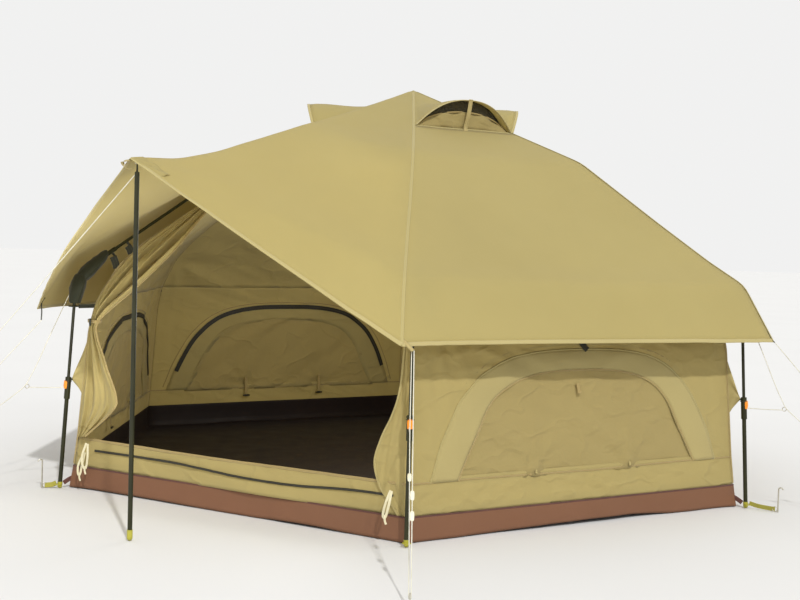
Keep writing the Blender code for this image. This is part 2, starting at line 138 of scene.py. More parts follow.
YAW, PITCH, ROLL = (math.radians(angle) for angle in (29.418, 2.95, 1.80))
EYE = (3.4145, -6.1324, 1.2766)
lens = bpy.data.cameras.new("camera")
lens.sensor_width = 36
lens.lens = 56.44
lens.clip_end = 200
camera = bpy.data.objects.new("camera", lens)
bpy.context.scene.collection.objects.link(camera)
forward = Vector((-math.sin(YAW) * math.cos(PITCH), math.cos(YAW) * math.cos(PITCH), -math.sin(PITCH)))
level = Vector((math.cos(YAW), math.sin(YAW), 0))
upright = level.cross(forward)
side = level * math.cos(ROLL) + upright * math.sin(ROLL)
top = upright * math.cos(ROLL) - level * math.sin(ROLL)
turn = Matrix((side, top, -forward)).transposed().to_4x4()
camera.matrix_world = Matrix.Translation(EYE) @ turn
bpy.context.scene.camera = camera
bpy.context.scene.view_settings.view_transform = "Standard"


def add_lamp(name, kind, power):
    lamp = bpy.data.lights.new(name, kind)
    lamp.energy = power
    made = bpy.data.objects.new(name, lamp)
    bpy.context.scene.collection.objects.link(made)
    return lamp, made


def shine_from(made, way):
    """Turn a lamp so that its light comes from that way."""
    made.rotation_euler = way.to_track_quat("Z", "Y").to_euler()


sun, sun_lamp = add_lamp("key", "SUN", 1.95)
sun.angle = math.radians(2.0)
shine_from(sun_lamp, around(1, math.tan(math.radians(43)), -42))


def add_soft(name, kind, place_at, power, size, toward=None):
    """A soft fill light that the camera doesn't see."""
    lamp, made = add_lamp(name, kind, power)
    if kind == "AREA":
        lamp.size = size
    else:
        lamp.shadow_soft_size = size
    made.location = place_at
    made.visible_camera = False
    if toward:
        shine_from(made, Vector(place_at) - Vector(toward))
    return made


add_soft("inside_fill", "POINT", (0.25, -0.35, 1.05), 44, 0.5)
bounce_lights = [
    add_soft("ground_bounce", "AREA", (0.1, -3.3, 0.60), 15, 2.6, (-0.35, -1.8, 1.45)),
    add_soft("porch_fill", "AREA", (-0.30, -2.02, 0.85), 4, 0.8, (-0.50, -1.10, 1.45)),
]
world = bpy.data.worlds.new("studio")
world.use_nodes = True
bpy.context.scene.world = world
studio = world.node_tree
glow = studio.nodes["Background"]
glow.inputs["Color"].default_value = (1.0, 0.99, 0.97, 1)
glow.inputs["Strength"].default_value = 0.80
seen = studio.nodes.new("ShaderNodeBackground")
seen.inputs["Color"].default_value = (0.88, 0.88, 0.875, 1)
rays = studio.nodes.new("ShaderNodeLightPath")
choose = studio.nodes.new("ShaderNodeMixShader")
studio.links.new(rays.outputs["Is Camera Ray"], choose.inputs[0])
studio.links.new(glow.outputs[0], choose.inputs[1])
studio.links.new(seen.outputs[0], choose.inputs[2])
studio.links.new(choose.outputs[0], studio.nodes["World Output"].inputs["Surface"])


# ---------------------------------------------------------------- materials


class Paint:
    """A material whose nodes are added a step at a time."""

    def __init__(self, name, colour, roughness, metallic=0.0):
        self.material = bpy.data.materials.new(name)
        self.material.use_nodes = True
        self.tree = self.material.node_tree
        self.shader = self.tree.nodes["Principled BSDF"]
        self.output = self.tree.nodes["Material Output"]
        self.shader.inputs["Base Color"].default_value = (*colour, 1)
        self.shader.inputs["Roughness"].default_value = roughness
        self.shader.inputs["Metallic"].default_value = metallic
        self.colour = None
        self.base = (*colour, 1)
        self.normal = None
        self.coordinates = self.tree.nodes.new("ShaderNodeTexCoord")

    def add(self, kind, **settings):
        made = self.tree.nodes.new(kind)
        for key, value in settings.items():
            setattr(made, key, value)
        return made

    def join(self, source, target):
        self.tree.links.new(source, target)

    def math(self, operation, first, second=None):
        made = self.add("ShaderNodeMath", operation=operation)
        for place, value in enumerate((first, second)):
            if isinstance(value, (int, float)):
                made.inputs[place].default_value = value
            elif value is not None:
                self.join(value, made.inputs[place])
        return made.outputs[0]

    def stretched(self, where, scale):
        made = self.add("ShaderNodeMapping")
        made.inputs["Scale"].default_value = scale
        self.join(self.coordinates.outputs[where], made.inputs["Vector"])
        return made.outputs[0]

    def noise(self, scale, detail=3.0, where="Object", stretch=(1, 1, 1), roughness=0.5):
        made = self.add("ShaderNodeTexNoise")
        made.inputs["Scale"].default_value = scale
        made.inputs["Detail"].default_value = detail
        made.inputs["Roughness"].default_value = roughness
        self.join(self.stretched(where, stretch), made.inputs["Vector"])
        return made.outputs["Fac"]

    def bands(self, pitch, across, where="UV"):
        made = self.add("ShaderNodeTexWave", bands_direction=across)
        made.inputs["Scale"].default_value = math.pi / 10 / pitch
        self.join(self.coordinates.outputs[where], made.inputs["Vector"])
        return made.outputs["Fac"]

    def spread(self, value, low, high, to_low=0.0, to_high=1.0):
        made = self.add("ShaderNodeMapRange")
        for place, number in zip(("From Min", "From Max", "To Min", "To Max"), (low, high, to_low, to_high)):
            made.inputs[place].default_value = number
        self.join(value, made.inputs["Value"])
        return made.outputs["Result"]

    def tint(self, share, colour):
        """Blend another colour over what is there."""
        made = self.add("ShaderNodeMix", data_type="RGBA")
        self.join(share, made.inputs[0])
        if self.colour:
            self.join(self.colour, made.inputs[6])
        else:
            made.inputs[6].default_value = self.base
        made.inputs[7].default_value = (*colour, 1)
        self.colour = made.outputs[2]
        self.join(self.colour, self.shader.inputs["Base Color"])

    def relief(self, height, distance, strength=1.0):
        made = self.add("ShaderNodeBump")
        made.inputs["Distance"].default_value = distance
        made.inputs["Strength"].default_value = strength
        self.join(height, made.inputs["Height"])
        if self.normal:
            self.join(self.normal, made.inputs["Normal"])
        self.normal = made.outputs[0]
        self.join(self.normal, self.shader.inputs["Normal"])

    def roughen(self, value, low, high):
        self.join(self.spread(value, 0.3, 0.7, low, high), self.shader.inputs["Roughness"])

    def glow_through(self, share, colour):
        """Let some of the light behind the cloth through."""
        thin = self.add("ShaderNodeBsdfTranslucent")
        if self.colour:
            self.join(self.colour, thin.inputs["Color"])
        else:
            thin.inputs["Color"].default_value = (*colour, 1)
        both = self.add("ShaderNodeMixShader")
        both.inputs[0].default_value = share
        self.join(self.shader.outputs[0], both.inputs[1])
        self.join(thin.outputs[0], both.inputs[2])
        self.join(both.outputs[0], self.output.inputs["Surface"])

    def stitches(self, offsets, colour):
        """Rows of stitches along V, at distances from the middle in U, in metres."""
        parts = self.add("ShaderNodeSeparateXYZ")
        self.join(self.coordinates.outputs["UV"], parts.inputs[0])
        steps = self.math("MULTIPLY", parts.outputs[1], 260.0)
        dash = self.math("LESS_THAN", self.math("FRACT", steps), 0.68)
        found = None
        for offset in offsets:
            apart = self.math("SUBTRACT", self.math("ABSOLUTE", parts.outputs[0]), offset)
            row = self.math("LESS_THAN", self.math("ABSOLUTE", apart), 0.0005)
            found = row if found is None else self.math("MAXIMUM", found, row)
        mask = self.math("MULTIPLY", found, dash)
        self.tint(mask, colour)
        self.relief(mask, 0.0004, 0.8)


SAND_THREAD = (0.5, 0.42, 0.22)
DARK_THREAD = (0.1, 0.1, 0.05)


def cloth(name, colour, worn, thread, through, crumple, roughness, stitches=(), sewn=SAND_THREAD, sheen=0.18):
    """Plain-woven cloth. thread is the spacing of its threads in metres."""
    paint = Paint(name, colour, roughness)
    paint.shader.inputs["Sheen Weight"].default_value = sheen
    paint.shader.inputs["Sheen Roughness"].default_value = 0.45
    paint.shader.inputs["Specular IOR Level"].default_value = 0.3
    paint.tint(paint.spread(paint.noise(1.7, 5.0, roughness=0.6), 0.38, 0.68, 0.0, 0.75), worn)
    warp, weft = paint.bands(thread, "X"), paint.bands(thread, "Y")
    # The gaps between the threads are darkened: painted shade between the threads.
    deep = tuple(0.86 * value for value in colour)
    painted_gap_shade = paint.math("SUBTRACT", 1.0, paint.math("MAXIMUM", warp, weft))
    paint.tint(paint.math("MULTIPLY", painted_gap_shade, 0.55), deep)
    slub = paint.noise(1.0, 2.0, "UV", (45, 700, 1))
    paint.tint(paint.spread(slub, 0.62, 0.85, 0.0, 0.22), tuple(1.06 * value for value in colour))
    paint.roughen(paint.noise(6.0, 3.0), roughness - 0.06, min(0.97, roughness + 0.06))
    if crumple:
        paint.relief(paint.noise(5.5, 4.0, roughness=0.45), 0.010, crumple)
        paint.relief(paint.noise(34.0, 3.0), 0.0016, crumple)
    if crumple > 0.6:
        slant = paint.noise(3.4, 2.0, stretch=(1.0, 1.0, 1.7))
        ridge = paint.math("ABSOLUTE", paint.math("SUBTRACT", slant, 0.5))
        paint.relief(paint.spread(ridge, 0.0, 0.045, 1.0, 0.0), 0.0055, 0.55)
    paint.relief(paint.math("MULTIPLY", paint.math("MAXIMUM", warp, weft), 0.7), 0.00035, 0.55)
    if stitches:
        paint.stitches(stitches, sewn)
    if through:
        paint.glow_through(through, colour)
    return paint.material


def webbing(name, colour, worn, stitches=(), sewn=(0.3, 0.3, 0.2)):
    """Ribbed tape: heavy ribs across it, finer ones along."""
    paint = Paint(name, colour, 0.72)
    paint.shader.inputs["Sheen Weight"].default_value = 0.15
    paint.tint(paint.spread(paint.noise(22.0, 4.0), 0.4, 0.7, 0.0, 0.8), worn)
    ribs, fine = paint.bands(0.0016, "Y"), paint.bands(0.0009, "X")
    # The furrows between the ribs are darkened: painted shade.
    paint.tint(paint.math("MULTIPLY", paint.math("SUBTRACT", 1.0, ribs), 0.4), tuple(0.6 * v for v in colour))
    paint.relief(paint.math("MULTIPLY", ribs, fine), 0.0005, 0.7)
    if stitches:
        paint.stitches(stitches, sewn)
    return paint.material


def coated_metal(name, colour, bare, roughness=0.42):
    """Painted tube: faint lengthwise drag marks, scuffs and small chips."""
    paint = Paint(name, colour, roughness, 0.1)
    paint.shader.inputs["Specular IOR Level"].default_value = 0.3
    paint.shader.inputs["Coat Weight"].default_value = 0.06
    paint.shader.inputs["Coat Roughness"].default_value = 0.3
    paint.tint(paint.spread(paint.noise(7.0, 4.0), 0.42, 0.72, 0.0, 0.7), tuple(1.9 * v for v in colour))
    scuffs = paint.noise(1.0, 4.0, stretch=(160, 160, 9), roughness=0.7)
    paint.tint(paint.spread(scuffs, 0.66, 0.78, 0.0, 0.55), bare)
    paint.roughen(scuffs, roughness - 0.12, roughness + 0.16)
    paint.relief(paint.noise(420.0, 2.0), 0.0002, 0.35)
    return paint


def plastic(name, colour, worn, roughness):
    """Moulded plastic with a fine spark-eroded grain and paler rubbed places."""
    paint = Paint(name, colour, roughness)
    paint.shader.inputs["Specular IOR Level"].default_value = 0.45
    paint.tint(paint.spread(paint.noise(30.0, 4.0), 0.45, 0.75, 0.0, 0.6), worn)
    paint.roughen(paint.noise(60.0, 3.0), roughness - 0.1, roughness + 0.14)
    paint.relief(paint.noise(900.0, 2.0), 0.00015, 0.5)
    return paint.material


def braid(name, colour, groove_shade_and_tone):
    """Braided cord: two sets of strands crossing round it. U runs round the cord and V along it."""
    paint = Paint(name, colour, 0.7)
    parts = paint.add("ShaderNodeSeparateXYZ")
    paint.join(paint.coordinates.outputs["UV"], parts.inputs[0])
    ways = []
    for sign in (1, -1):
        turned = paint.math("MULTIPLY", parts.outputs[0], 2000.0)
        phase = paint.math("ADD", turned, paint.math("MULTIPLY", parts.outputs[1], sign * 1500.0))
        ways.append(paint.math("ABSOLUTE", paint.math("SINE", phase)))
    strands = paint.math("MULTIPLY", ways[0], ways[1])
    # The grooves between strands are darkened: painted shade. Below, the same colour also darkens the cord at
    # random.
    paint.tint(paint.spread(strands, 0.0, 0.45, 0.55, 0.0), groove_shade_and_tone)
    paint.tint(paint.spread(paint.noise(18.0, 3.0), 0.5, 0.75, 0.0, 0.4), groove_shade_and_tone)
    paint.relief(strands, 0.0005, 0.9)
    return paint.material


FLY = (0.590, 0.495, 0.200)
INNER = (0.575, 0.470, 0.190)
# Each cloth: colour, worn colour, thread spacing, light let through, crumple, roughness and stitching.
fly_cloth = cloth("fly_cloth", FLY, (0.560, 0.465, 0.185), 0.0011, 0.40, 0.22, 0.78)
fly_edge = cloth(
    "fly_edge", (0.455, 0.378, 0.157), (0.42, 0.35, 0.142), 0.0011, 0.0, 0.15, 0.75, (0.0062, 0.0035)
)
fly_seam = cloth("fly_seam", (0.41, 0.342, 0.138), (0.385, 0.32, 0.128), 0.0011, 0.0, 0.15, 0.78, (0.0042,))
inner_cloth = cloth("inner_cloth", INNER, (0.530, 0.430, 0.170), 0.0009, 0.36, 0.7, 0.86)
window_cloth = cloth("window_cloth", (0.500, 0.400, 0.163), (0.455, 0.360, 0.145), 0.0009, 0.34, 0.9, 0.86)
facing_cloth = cloth("facing_cloth", (0.480, 0.395, 0.165), (0.450, 0.365, 0.150), 0.0009, 0.14, 0.5, 0.84)
seam_cloth = cloth("seam_cloth", (0.36, 0.265, 0.100), (0.32, 0.235, 0.09), 0.0009, 0.0, 0.1, 0.86, (0.0032,))
skirt_cloth = cloth(
    "skirt_cloth", (0.205, 0.093, 0.047), (0.182, 0.084, 0.042), 0.0013, 0.0, 0.5, 0.62, sheen=0.06
)
# The floor is the skirt's red-brown darkened to near black: painted shade inside the tent.
floor_cloth = cloth(
    "floor_cloth", (0.0078, 0.0030, 0.0024), (0.0130, 0.0055, 0.0042), 0.0013, 0.0, 0.55, 0.6, sheen=0.02
)
strap_red = webbing("strap_red", (0.10, 0.030, 0.020), (0.14, 0.045, 0.03), (0.005,), (0.2, 0.1, 0.07))
strap_dark = webbing("strap_dark", (0.016, 0.017, 0.007), (0.030, 0.031, 0.014), (0.007,), (0.12, 0.12, 0.06))
strap_sand = webbing("strap_sand", (0.50, 0.40, 0.16), (0.44, 0.34, 0.13), (0.006,), (0.10, 0.08, 0.03))
strap_pale = webbing("strap_pale", (0.78, 0.72, 0.48), (0.70, 0.62, 0.38))
strap_green = webbing("strap_green", (0.42, 0.38, 0.05), (0.33, 0.29, 0.04))
cover_cloth = cloth(
    "cover_cloth", (0.018, 0.020, 0.008), (0.034, 0.036, 0.016), 0.0014, 0.0, 0.6, 0.7, (0.004,), DARK_THREAD
)
cord_pale = braid("cord_pale", (0.86, 0.84, 0.72), (0.50, 0.46, 0.30))
hub_plastic = plastic("hub_plastic", (0.020, 0.020, 0.017), (0.05, 0.05, 0.042), 0.45)
foot_plastic = plastic("foot_plastic", (0.40, 0.37, 0.04), (0.26, 0.24, 0.05), 0.5)
button_plastic = plastic("button_plastic", (0.95, 0.27, 0.008), (0.85, 0.33, 0.03), 0.36)
lock_plastic = plastic("lock_plastic", (0.80, 0.76, 0.58), (0.66, 0.60, 0.40), 0.42)
dark_plastic = plastic("dark_plastic", (0.020, 0.021, 0.010), (0.05, 0.05, 0.03), 0.42)
frame_paint = coated_metal("frame_paint", (0.0150, 0.0155, 0.0035), (0.09, 0.085, 0.03))
frame_metal = frame_paint.material
peg_paint = coated_metal("peg_steel", (0.50, 0.48, 0.40), (0.75, 0.74, 0.70), 0.34)
peg_paint.shader.inputs["Metallic"].default_value = 0.9
peg_steel = peg_paint.material

# The lower leg is painted above its moulded foot.
leg_paint = coated_metal("leg_paint", (0.0170, 0.0175, 0.0040), (0.10, 0.095, 0.035))
height = leg_paint.add("ShaderNodeSeparateXYZ")
leg_paint.join(leg_paint.coordinates.outputs["Object"], height.inputs[0])
leg_paint.tint(leg_paint.math("LESS_THAN", height.outputs[2], 0.031), (0.38, 0.35, 0.035))

# Open-weave mosquito mesh, as holes in a dark net.
net = Paint("vent_net", (0.035, 0.030, 0.012), 0.8)
holes = net.math("MAXIMUM", net.bands(0.0030, "X"), net.bands(0.0030, "Y"))
net.tint(net.spread(net.noise(14.0, 3.0), 0.4, 0.7, 0.0, 0.6), (0.060, 0.050, 0.022))
net.join(net.spread(holes, 0.55, 0.75, 0.45, 1.0), net.shader.inputs["Alpha"])
vent_net = net.material

# Zip tape with its teeth across the middle.
zip_tape = Paint("zip_tape", (0.018, 0.016, 0.009), 0.6)
zip_parts = zip_tape.add("ShaderNodeSeparateXYZ")
zip_tape.join(zip_tape.coordinates.outputs["UV"], zip_parts.inputs[0])
middle = zip_tape.math("LESS_THAN", zip_tape.math("ABSOLUTE", zip_parts.outputs[0]), 0.0032)
teeth = zip_tape.math("MULTIPLY", zip_tape.bands(0.0016, "Y"), middle)
zip_tape.tint(teeth, (0.050, 0.045, 0.026))
zip_tape.tint(zip_tape.spread(zip_tape.noise(40.0, 3.0), 0.45, 0.75, 0.0, 0.5), (0.035, 0.030, 0.018))
zip_tape.relief(teeth, 0.0008, 1.0)
zip_dark = zip_tape.material

studio_floor = Paint("studio_floor", (0.75, 0.75, 0.745), 0.9)
studio_floor.tint(studio_floor.spread(studio_floor.noise(0.8, 4.0), 0.4, 0.7, 0.0, 0.5), (0.725, 0.725, 0.72))

bpy.ops.mesh.primitive_circle_add(vertices=96, radius=60, fill_type="NGON", location=(0, 0, -0.0015))
floor = bpy.context.object
floor.name = "studio_floor"
floor.data.materials.append(studio_floor.material)

# Light that stands for what the ground throws back doesn't fall on the ground itself.
unlit = bpy.data.collections.new("not_lit_by_bounce")
unlit.objects.link(floor)
unlit.collection_objects[0].light_linking.link_state = "EXCLUDE"
for lamp in bounce_lights:
    lamp.light_linking.receiver_collection = unlit


# ---------------------------------------------------------------- building


def make(name, mesh, material, angle=50):
    made = bpy.data.objects.new(name, mesh)
    bpy.context.scene.collection.objects.link(made)
    mesh.materials.append(material)
    mesh.shade_smooth()
    if angle < 180:
        mesh.set_sharp_from_angle(angle=math.radians(angle))
    return made


def place(made, slot, body=CLOTH_BODY, lowers=True):
    """Ride on a body. What rides on the cloth gets a mesh of its own, unless lowers is off."""
    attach(made, body)
    if body == CLOTH_BODY and lowers:
        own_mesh(made)
    return made


def place_all(items, slot):
    for item in items:
        place(item, slot)


def apply(made):
    """Replace the mesh with what its modifiers make of it."""
    bpy.context.view_layer.update()
    graph = bpy.context.evaluated_depsgraph_get()
    shaped = made.evaluated_get(graph)
    mesh = bpy.data.meshes.new_from_object(shaped, preserve_all_data_layers=True, depsgraph=graph)
    made.modifiers.clear()
    made.data = mesh
    return made


def thicken(made, depth, where=0.0):
    step = made.modifiers.new("thickness", "SOLIDIFY")
    step.thickness = depth
    step.offset = where
    step.use_even_offset = True
    return apply(made)


def finished(shape, name):
    """The mesh that a bmesh has become."""
    mesh = bpy.data.meshes.new(name)
    shape.to_mesh(mesh)
    shape.free()
    return mesh


def grid_mesh(name, rows, skip=None):
    """An open surface over rows of points, with its UV in metres along and across the cloth."""
    shape = bmesh.new()
    layer = shape.loops.layers.uv.new("UVMap")
    middle = len(rows[0]) // 2
    down = lengths([row[middle] for row in rows])
    across = []
    for row in rows:
        reach = lengths(row)
        across.append([value - reach[middle] for value in reach])
    verts = [[shape.verts.new(point) for point in row] for row in rows]
    for i in range(len(rows) - 1):
        for j in range(len(rows[0]) - 1):
            if skip and skip(i, j):
                continue
            corners = ((i, j), (i, j + 1), (i + 1, j + 1), (i + 1, j))
            face = shape.faces.new([verts[a][b] for a, b in corners])
            for loop, (a, b) in zip(face.loops, corners):
                loop[layer].uv = (across[a][b], down[a])
    bmesh.ops.remove_doubles(shape, verts=shape.verts, dist=0.00002)
    loose = [vert for vert in shape.verts if not vert.link_faces]
    bmesh.ops.delete(shape, geom=loose, context="VERTS")
    return finished(shape, name)


def sheet_piece(name, rows, material, depth=0.0014, where=0.0, skip=None, angle=66):
    made = make(name, grid_mesh(name, rows, skip), material, angle)
    return thicken(made, depth, where)


def tangents(points, closed=False):
    count = len(points)
    result = []
    for i in range(count):
        before = points[(i - 1) % count] if closed or i else points[i]
        after = points[(i + 1) % count] if closed or i < count - 1 else points[i]
        result.append((after - before).normalized())
    return result


def loft(name, rings, material, closed=False, caps=True, angle=50):
    """A skin over rings of points, with U round each ring and V from ring to ring, in metres."""
    shape = bmesh.new()
    layer = shape.loops.layers.uv.new("UVMap")
    centres = [sum(ring, Vector()) / len(ring) for ring in rings]
    down = lengths(centres + ([centres[0]] if closed else []))
    rounds = [lengths(ring + [ring[0]]) for ring in rings]
    verts = [[shape.verts.new(point) for point in ring] for ring in rings]
    sides = len(rings[0])
    total = len(rings)
    for i in range(total if closed else total - 1):
        for j in range(sides):
            k = (i + 1) % total
            corners = ((i, j, i), (i, j + 1, i), (k, j + 1, i + 1), (k, j, i + 1))
            face = shape.faces.new([verts[a][b % sides] for a, b, c in corners])
            for loop, (a, b, c) in zip(face.loops, corners):
                loop[layer].uv = (rounds[a][b], down[c])
    if caps and not closed:
        shape.faces.new(verts[0][::-1])
        shape.faces.new(verts[-1])
    bmesh.ops.recalc_face_normals(shape, faces=shape.faces)
    return make(name, finished(shape, name), material, angle)


def tube(name, points, material, radius=0.0, sides=10, closed=False, radii=None):
    """A round rod along a line, of one radius or with one for each point."""
    ways = tangents(points, closed)
    spare = UP if abs(ways[0].z) < 0.9 else Vector((1, 0, 0))
    normal = ways[0].cross(spare).normalized()
    rings = []
    for i, (point, way) in enumerate(zip(points, ways)):
        normal = (normal - way * normal.dot(way)).normalized()
        other = way.cross(normal)
        r = radii[i] if radii else radius
        rings.append([point + r * (math.cos(t) * normal + math.sin(t) * other) for t in full_turn(sides)])
    return loft(name, rings, material, closed=closed)


def tape(name, points, normals, width, depth, material, closed=False):
    """A flat strip along a line, lying on a surface with those normals, or one normal for the whole line."""
    if isinstance(normals, Vector):
        normals = [normals] * len(points)
    ways = tangents(points, closed)
    shape = bmesh.new()
    layer = shape.loops.layers.uv.new("UVMap")
    half, thin = width / 2, depth / 2
    edge = min(thin, width / 8)
    outline = [(-half, 0.0), (-half + edge, thin), (0.0, thin), (half - edge, thin)]
    outline += [(half, 0.0), (half - edge, -thin), (0.0, -thin), (-half + edge, -thin)]
    verts = []
    for point, way, normal in zip(points, ways, normals):
        over = way.cross(normal).normalized()
        out = over.cross(way).normalized()
        verts.append([shape.verts.new(point + over * a + out * b) for a, b in outline])
    down = lengths(points + ([points[0]] if closed else []))
    total = len(points)
    for i in range(total if closed else total - 1):
        k = (i + 1) % total
        for j in range(8):
            n = (j + 1) % 8
            face = shape.faces.new([verts[i][j], verts[i][n], verts[k][n], verts[k][j]])
            for loop, (a, b) in zip(face.loops, ((j, i), (n, i), (n, i + 1), (j, i + 1))):
                loop[layer].uv = (outline[a][0], down[b])
    if not closed:
        shape.faces.new(verts[0][::-1])
        shape.faces.new(verts[-1])
    bmesh.ops.recalc_face_normals(shape, faces=shape.faces)
    return make(name, finished(shape, name), material, 40)


def strip(name, knots, count, normal, width, depth, material):
    """A tape on a smooth line through a few places."""
    return tape(name, route(knots, count), normal, width, depth, material)


def ring(name, centre, axis, radius, wire, material):
    axis = axis.normalized()
    spare = UP if abs(axis.z) < 0.9 else Vector((1, 0, 0))
    a = axis.cross(spare).normalized()
    b = axis.cross(a)
    line = [centre + radius * (math.cos(t) * a + math.sin(t) * b) for t in full_turn(24)]
    return tube(name, line, material, wire, 8, True)


# ---------------------------------------------------------------- frame


def finish_node(name, material):
    made = NODES[name]
    made.data.materials.clear()
    made.data.materials.append(material)


for name in NODES:
    if name.startswith(("upper_arm", "lower_arm", "leg_rod")) or name == "porch_pole":
        finish_node(name, frame_metal)
    elif name.startswith("leg_tube"):
        finish_node(name, leg_paint.material)
    elif name.startswith("leg_button"):
        finish_node(name, button_plastic)
    elif "peg" in name:
        finish_node(name, peg_steel)
finish_node("hub", hub_plastic)
finish_node("porch_pole_foot", foot_plastic)

FOOT = (1.930, 0.012)
LEG_TOP = (1.867, 1.030)
COLLAR_HEIGHT, BUTTON_HEIGHT, STRAP_HEIGHT = 0.522, 0.505, 0.884
# The two lobes of each elbow's cover, as (radius, height, half width, half depth).
ARM_COVER = [
    (1.712, 1.152, 0.010, 0.012),
    (1.726, 1.143, 0.021, 0.020),
    (1.748, 1.118, 0.036, 0.024),
    (1.777, 1.090, 0.046, 0.031),
    (1.806, 1.062, 0.050, 0.034),
    (1.832, 1.034, 0.048, 0.033),
    (1.850, 1.016, 0.034, 0.024),
]
LEG_COVER = [
    (1.838, 1.040, 0.032, 0.022),
    (1.846, 1.022, 0.050, 0.032),
    (1.856, 0.996, 0.057, 0.036),
    (1.864, 0.966, 0.056, 0.036),
    (1.869, 0.938, 0.043, 0.034),
    (1.872, 0.914, 0.030, 0.030),
    (1.874, 0.902, 0.0265, 0.0275),
    (1.874, 0.900, 0.0245, 0.0255),
    (1.874, 0.904, 0.0225, 0.0240),
    (1.871, 0.930, 0.0225, 0.0240),
    (1.868, 0.960, 0.0225, 0.0240),
    (1.867, 0.968, 0.0160, 0.0170),
]
# The button's housing: its sections as (height above the button, half width, depth), and their outline.
HOUSING = [
    (-0.021, 0.0060, 0.0130),
    (-0.019, 0.0110, 0.0165),
    (-0.006, 0.0118, 0.0190),
    (0.010, 0.0118, 0.0182),
    (0.019, 0.0105, 0.0165),
    (0.021, 0.0060, 0.0130),
]
HOUSING_OUTLINE = [(-1, 0.2), (-1, 0.75), (-0.7, 1), (0.7, 1), (1, 0.75), (1, 0.2)]
HOUSING_BACK = 0.004
# The inner roof's corner, as (radius, height), where the arm's straps are sewn to it.
ROOF_CORNER = [(1.0, 1.565), (1.53, 1.20), (1.66, 1.08), (1.765, 0.909)]
HOOK_RADII = (1.615, 1.688)
STRAP_REACH = 0.020


def leg_radius(height):
    """Radius of the leg's centre line at a height."""
    return FOOT[0] + (LEG_TOP[0] - FOOT[0]) * (height - FOOT[1]) / (LEG_TOP[1] - FOOT[1])


def leg_spot(height, bearing, out=0.0):
    """A place on the leg's centre line, or out from it."""
    return around(leg_radius(height) + out, height, bearing)


def pod(name, bearing, stations):
    """A soft lobe of cover cloth: flat oval sections along a line of the corner's plane."""
    along = level_way(bearing + 90)
    path = [around(r, z, bearing) for r, z, *_ in stations]
    rings = []
    first_out = along.cross(path[1] - path[0])
    for point, way, (_, _, wide, deep) in zip(path, tangents(path), stations):
        out = along.cross(way).normalized()
        if out.dot(first_out) < 0:
            out = -out
        section = []
        for t in full_turn(24):
            bulge = deep * math.sin(t) * (0.75 + 0.25 * abs(math.sin(t)))
            section.append(point + wide * math.cos(t) * along + bulge * out)
        rings.append(section)
    made = loft(name, rings, cover_cloth)
    step = made.modifiers.new("round", "SUBSURF")
    step.levels = step.render_levels = 1
    apply(made)
    for vert in made.data.vertices:
        fold = noise.noise(vert.co * 38) + 0.5 * noise.noise(vert.co * 80)
        vert.co += vert.normal * 0.0035 * fold
    made.data.shade_smooth()
    return made


def button_housing(corner, bearing):
    """Orange shell round the leg's push button."""
    along, outward = level_way(bearing + 90), level_way(bearing)
    shell = []
    for lift, wide, deep in HOUSING:
        centre = leg_spot(BUTTON_HEIGHT + lift, bearing)
        shell.append(
            [
                centre + along * wide * u + outward * (HOUSING_BACK + (deep - HOUSING_BACK) * v)
                for u, v in HOUSING_OUTLINE
            ]
        )
    return loft(f"button_housing_{corner}", shell, button_plastic)


def arm_hook(corner, bearing, number, radius):
    """A hook ring on the arm and the strap that hangs the inner tent from it."""
    spot = around(radius, 1.655 - (radius - 1.005) * 0.744 - 0.004, bearing)
    along_arm = around(0.802, -0.597, bearing)
    hook = ring(f"arm_hook_{corner}_{number}", spot, along_arm, 0.0135, 0.0034, dark_plastic)
    place(hook, "hub_plastic", f"lower_arm_{corner}")
    below = around(radius - STRAP_REACH, between(ROOF_CORNER, radius - STRAP_REACH) + 0.004, bearing)
    spots = [spot - UP * 0.014, spot.lerp(below, 0.55), below]
    side_way = level_way(bearing + 90)
    place(strip(f"arm_strap_{corner}_{number}", spots, 8, side_way, 0.036, 0.0026, strap_dark), "hub_plastic")


for corner, bearing in CORNERS.items():
    # Sewn covers over the elbow: one lobe goes with the arm and one with the leg.
    place(pod(f"elbow_arm_cover_{corner}", bearing, ARM_COVER), "hub_plastic", f"lower_arm_{corner}")
    place(pod(f"elbow_leg_cover_{corner}", bearing, LEG_COVER), "hub_plastic", f"leg_rod_{corner}")
    lean = (around(*LEG_TOP, bearing) - around(*FOOT, bearing)).normalized()
    collar = leg_spot(COLLAR_HEIGHT, bearing)
    band = ring(f"collar_ring_{corner}", collar, lean, 0.0168, 0.0019, dark_plastic)
    place(band, "hub_plastic", f"leg_tube_{corner}")
    heel = around(FOOT[0] + 0.010, 0.018, bearing)
    foot_ring = ring(f"foot_ring_{corner}", heel, lean, 0.0165, 0.0024, foot_plastic)
    place(foot_ring, "foot_plastic", f"leg_tube_{corner}")
    place(button_housing(corner, bearing), "button_plastic", f"leg_tube_{corner}")
    for number, radius in enumerate(HOOK_RADII):
        arm_hook(corner, bearing, number, radius)


# ---------------------------------------------------------------- flysheet

# The hip seam from peak to tip, as (radius, height).
FLY_HIP = [
    Vector((0.0, 2.083)),
    Vector((0.283, 1.970)),
    Vector((0.566, 1.856)),
    Vector((1.005, 1.680)),
    Vector((1.430, 1.378)),
    Vector((1.700, 1.192)),
    Vector((1.875, 1.085)),
    Vector((2.030, 0.820)),
]
HIP_STEPS = 240
HIP = soften(even(FLY_HIP, HIP_STEPS + 1), 12)
# Shares of the way down a panel where a vent's hood starts to rise, and where the panel is slit.
VENT_TOP, VENT_SLIT = 0.1246, 0.272
VENTED = ("right", "back_left", "left", "front_right")
VENT_STEPS = 40
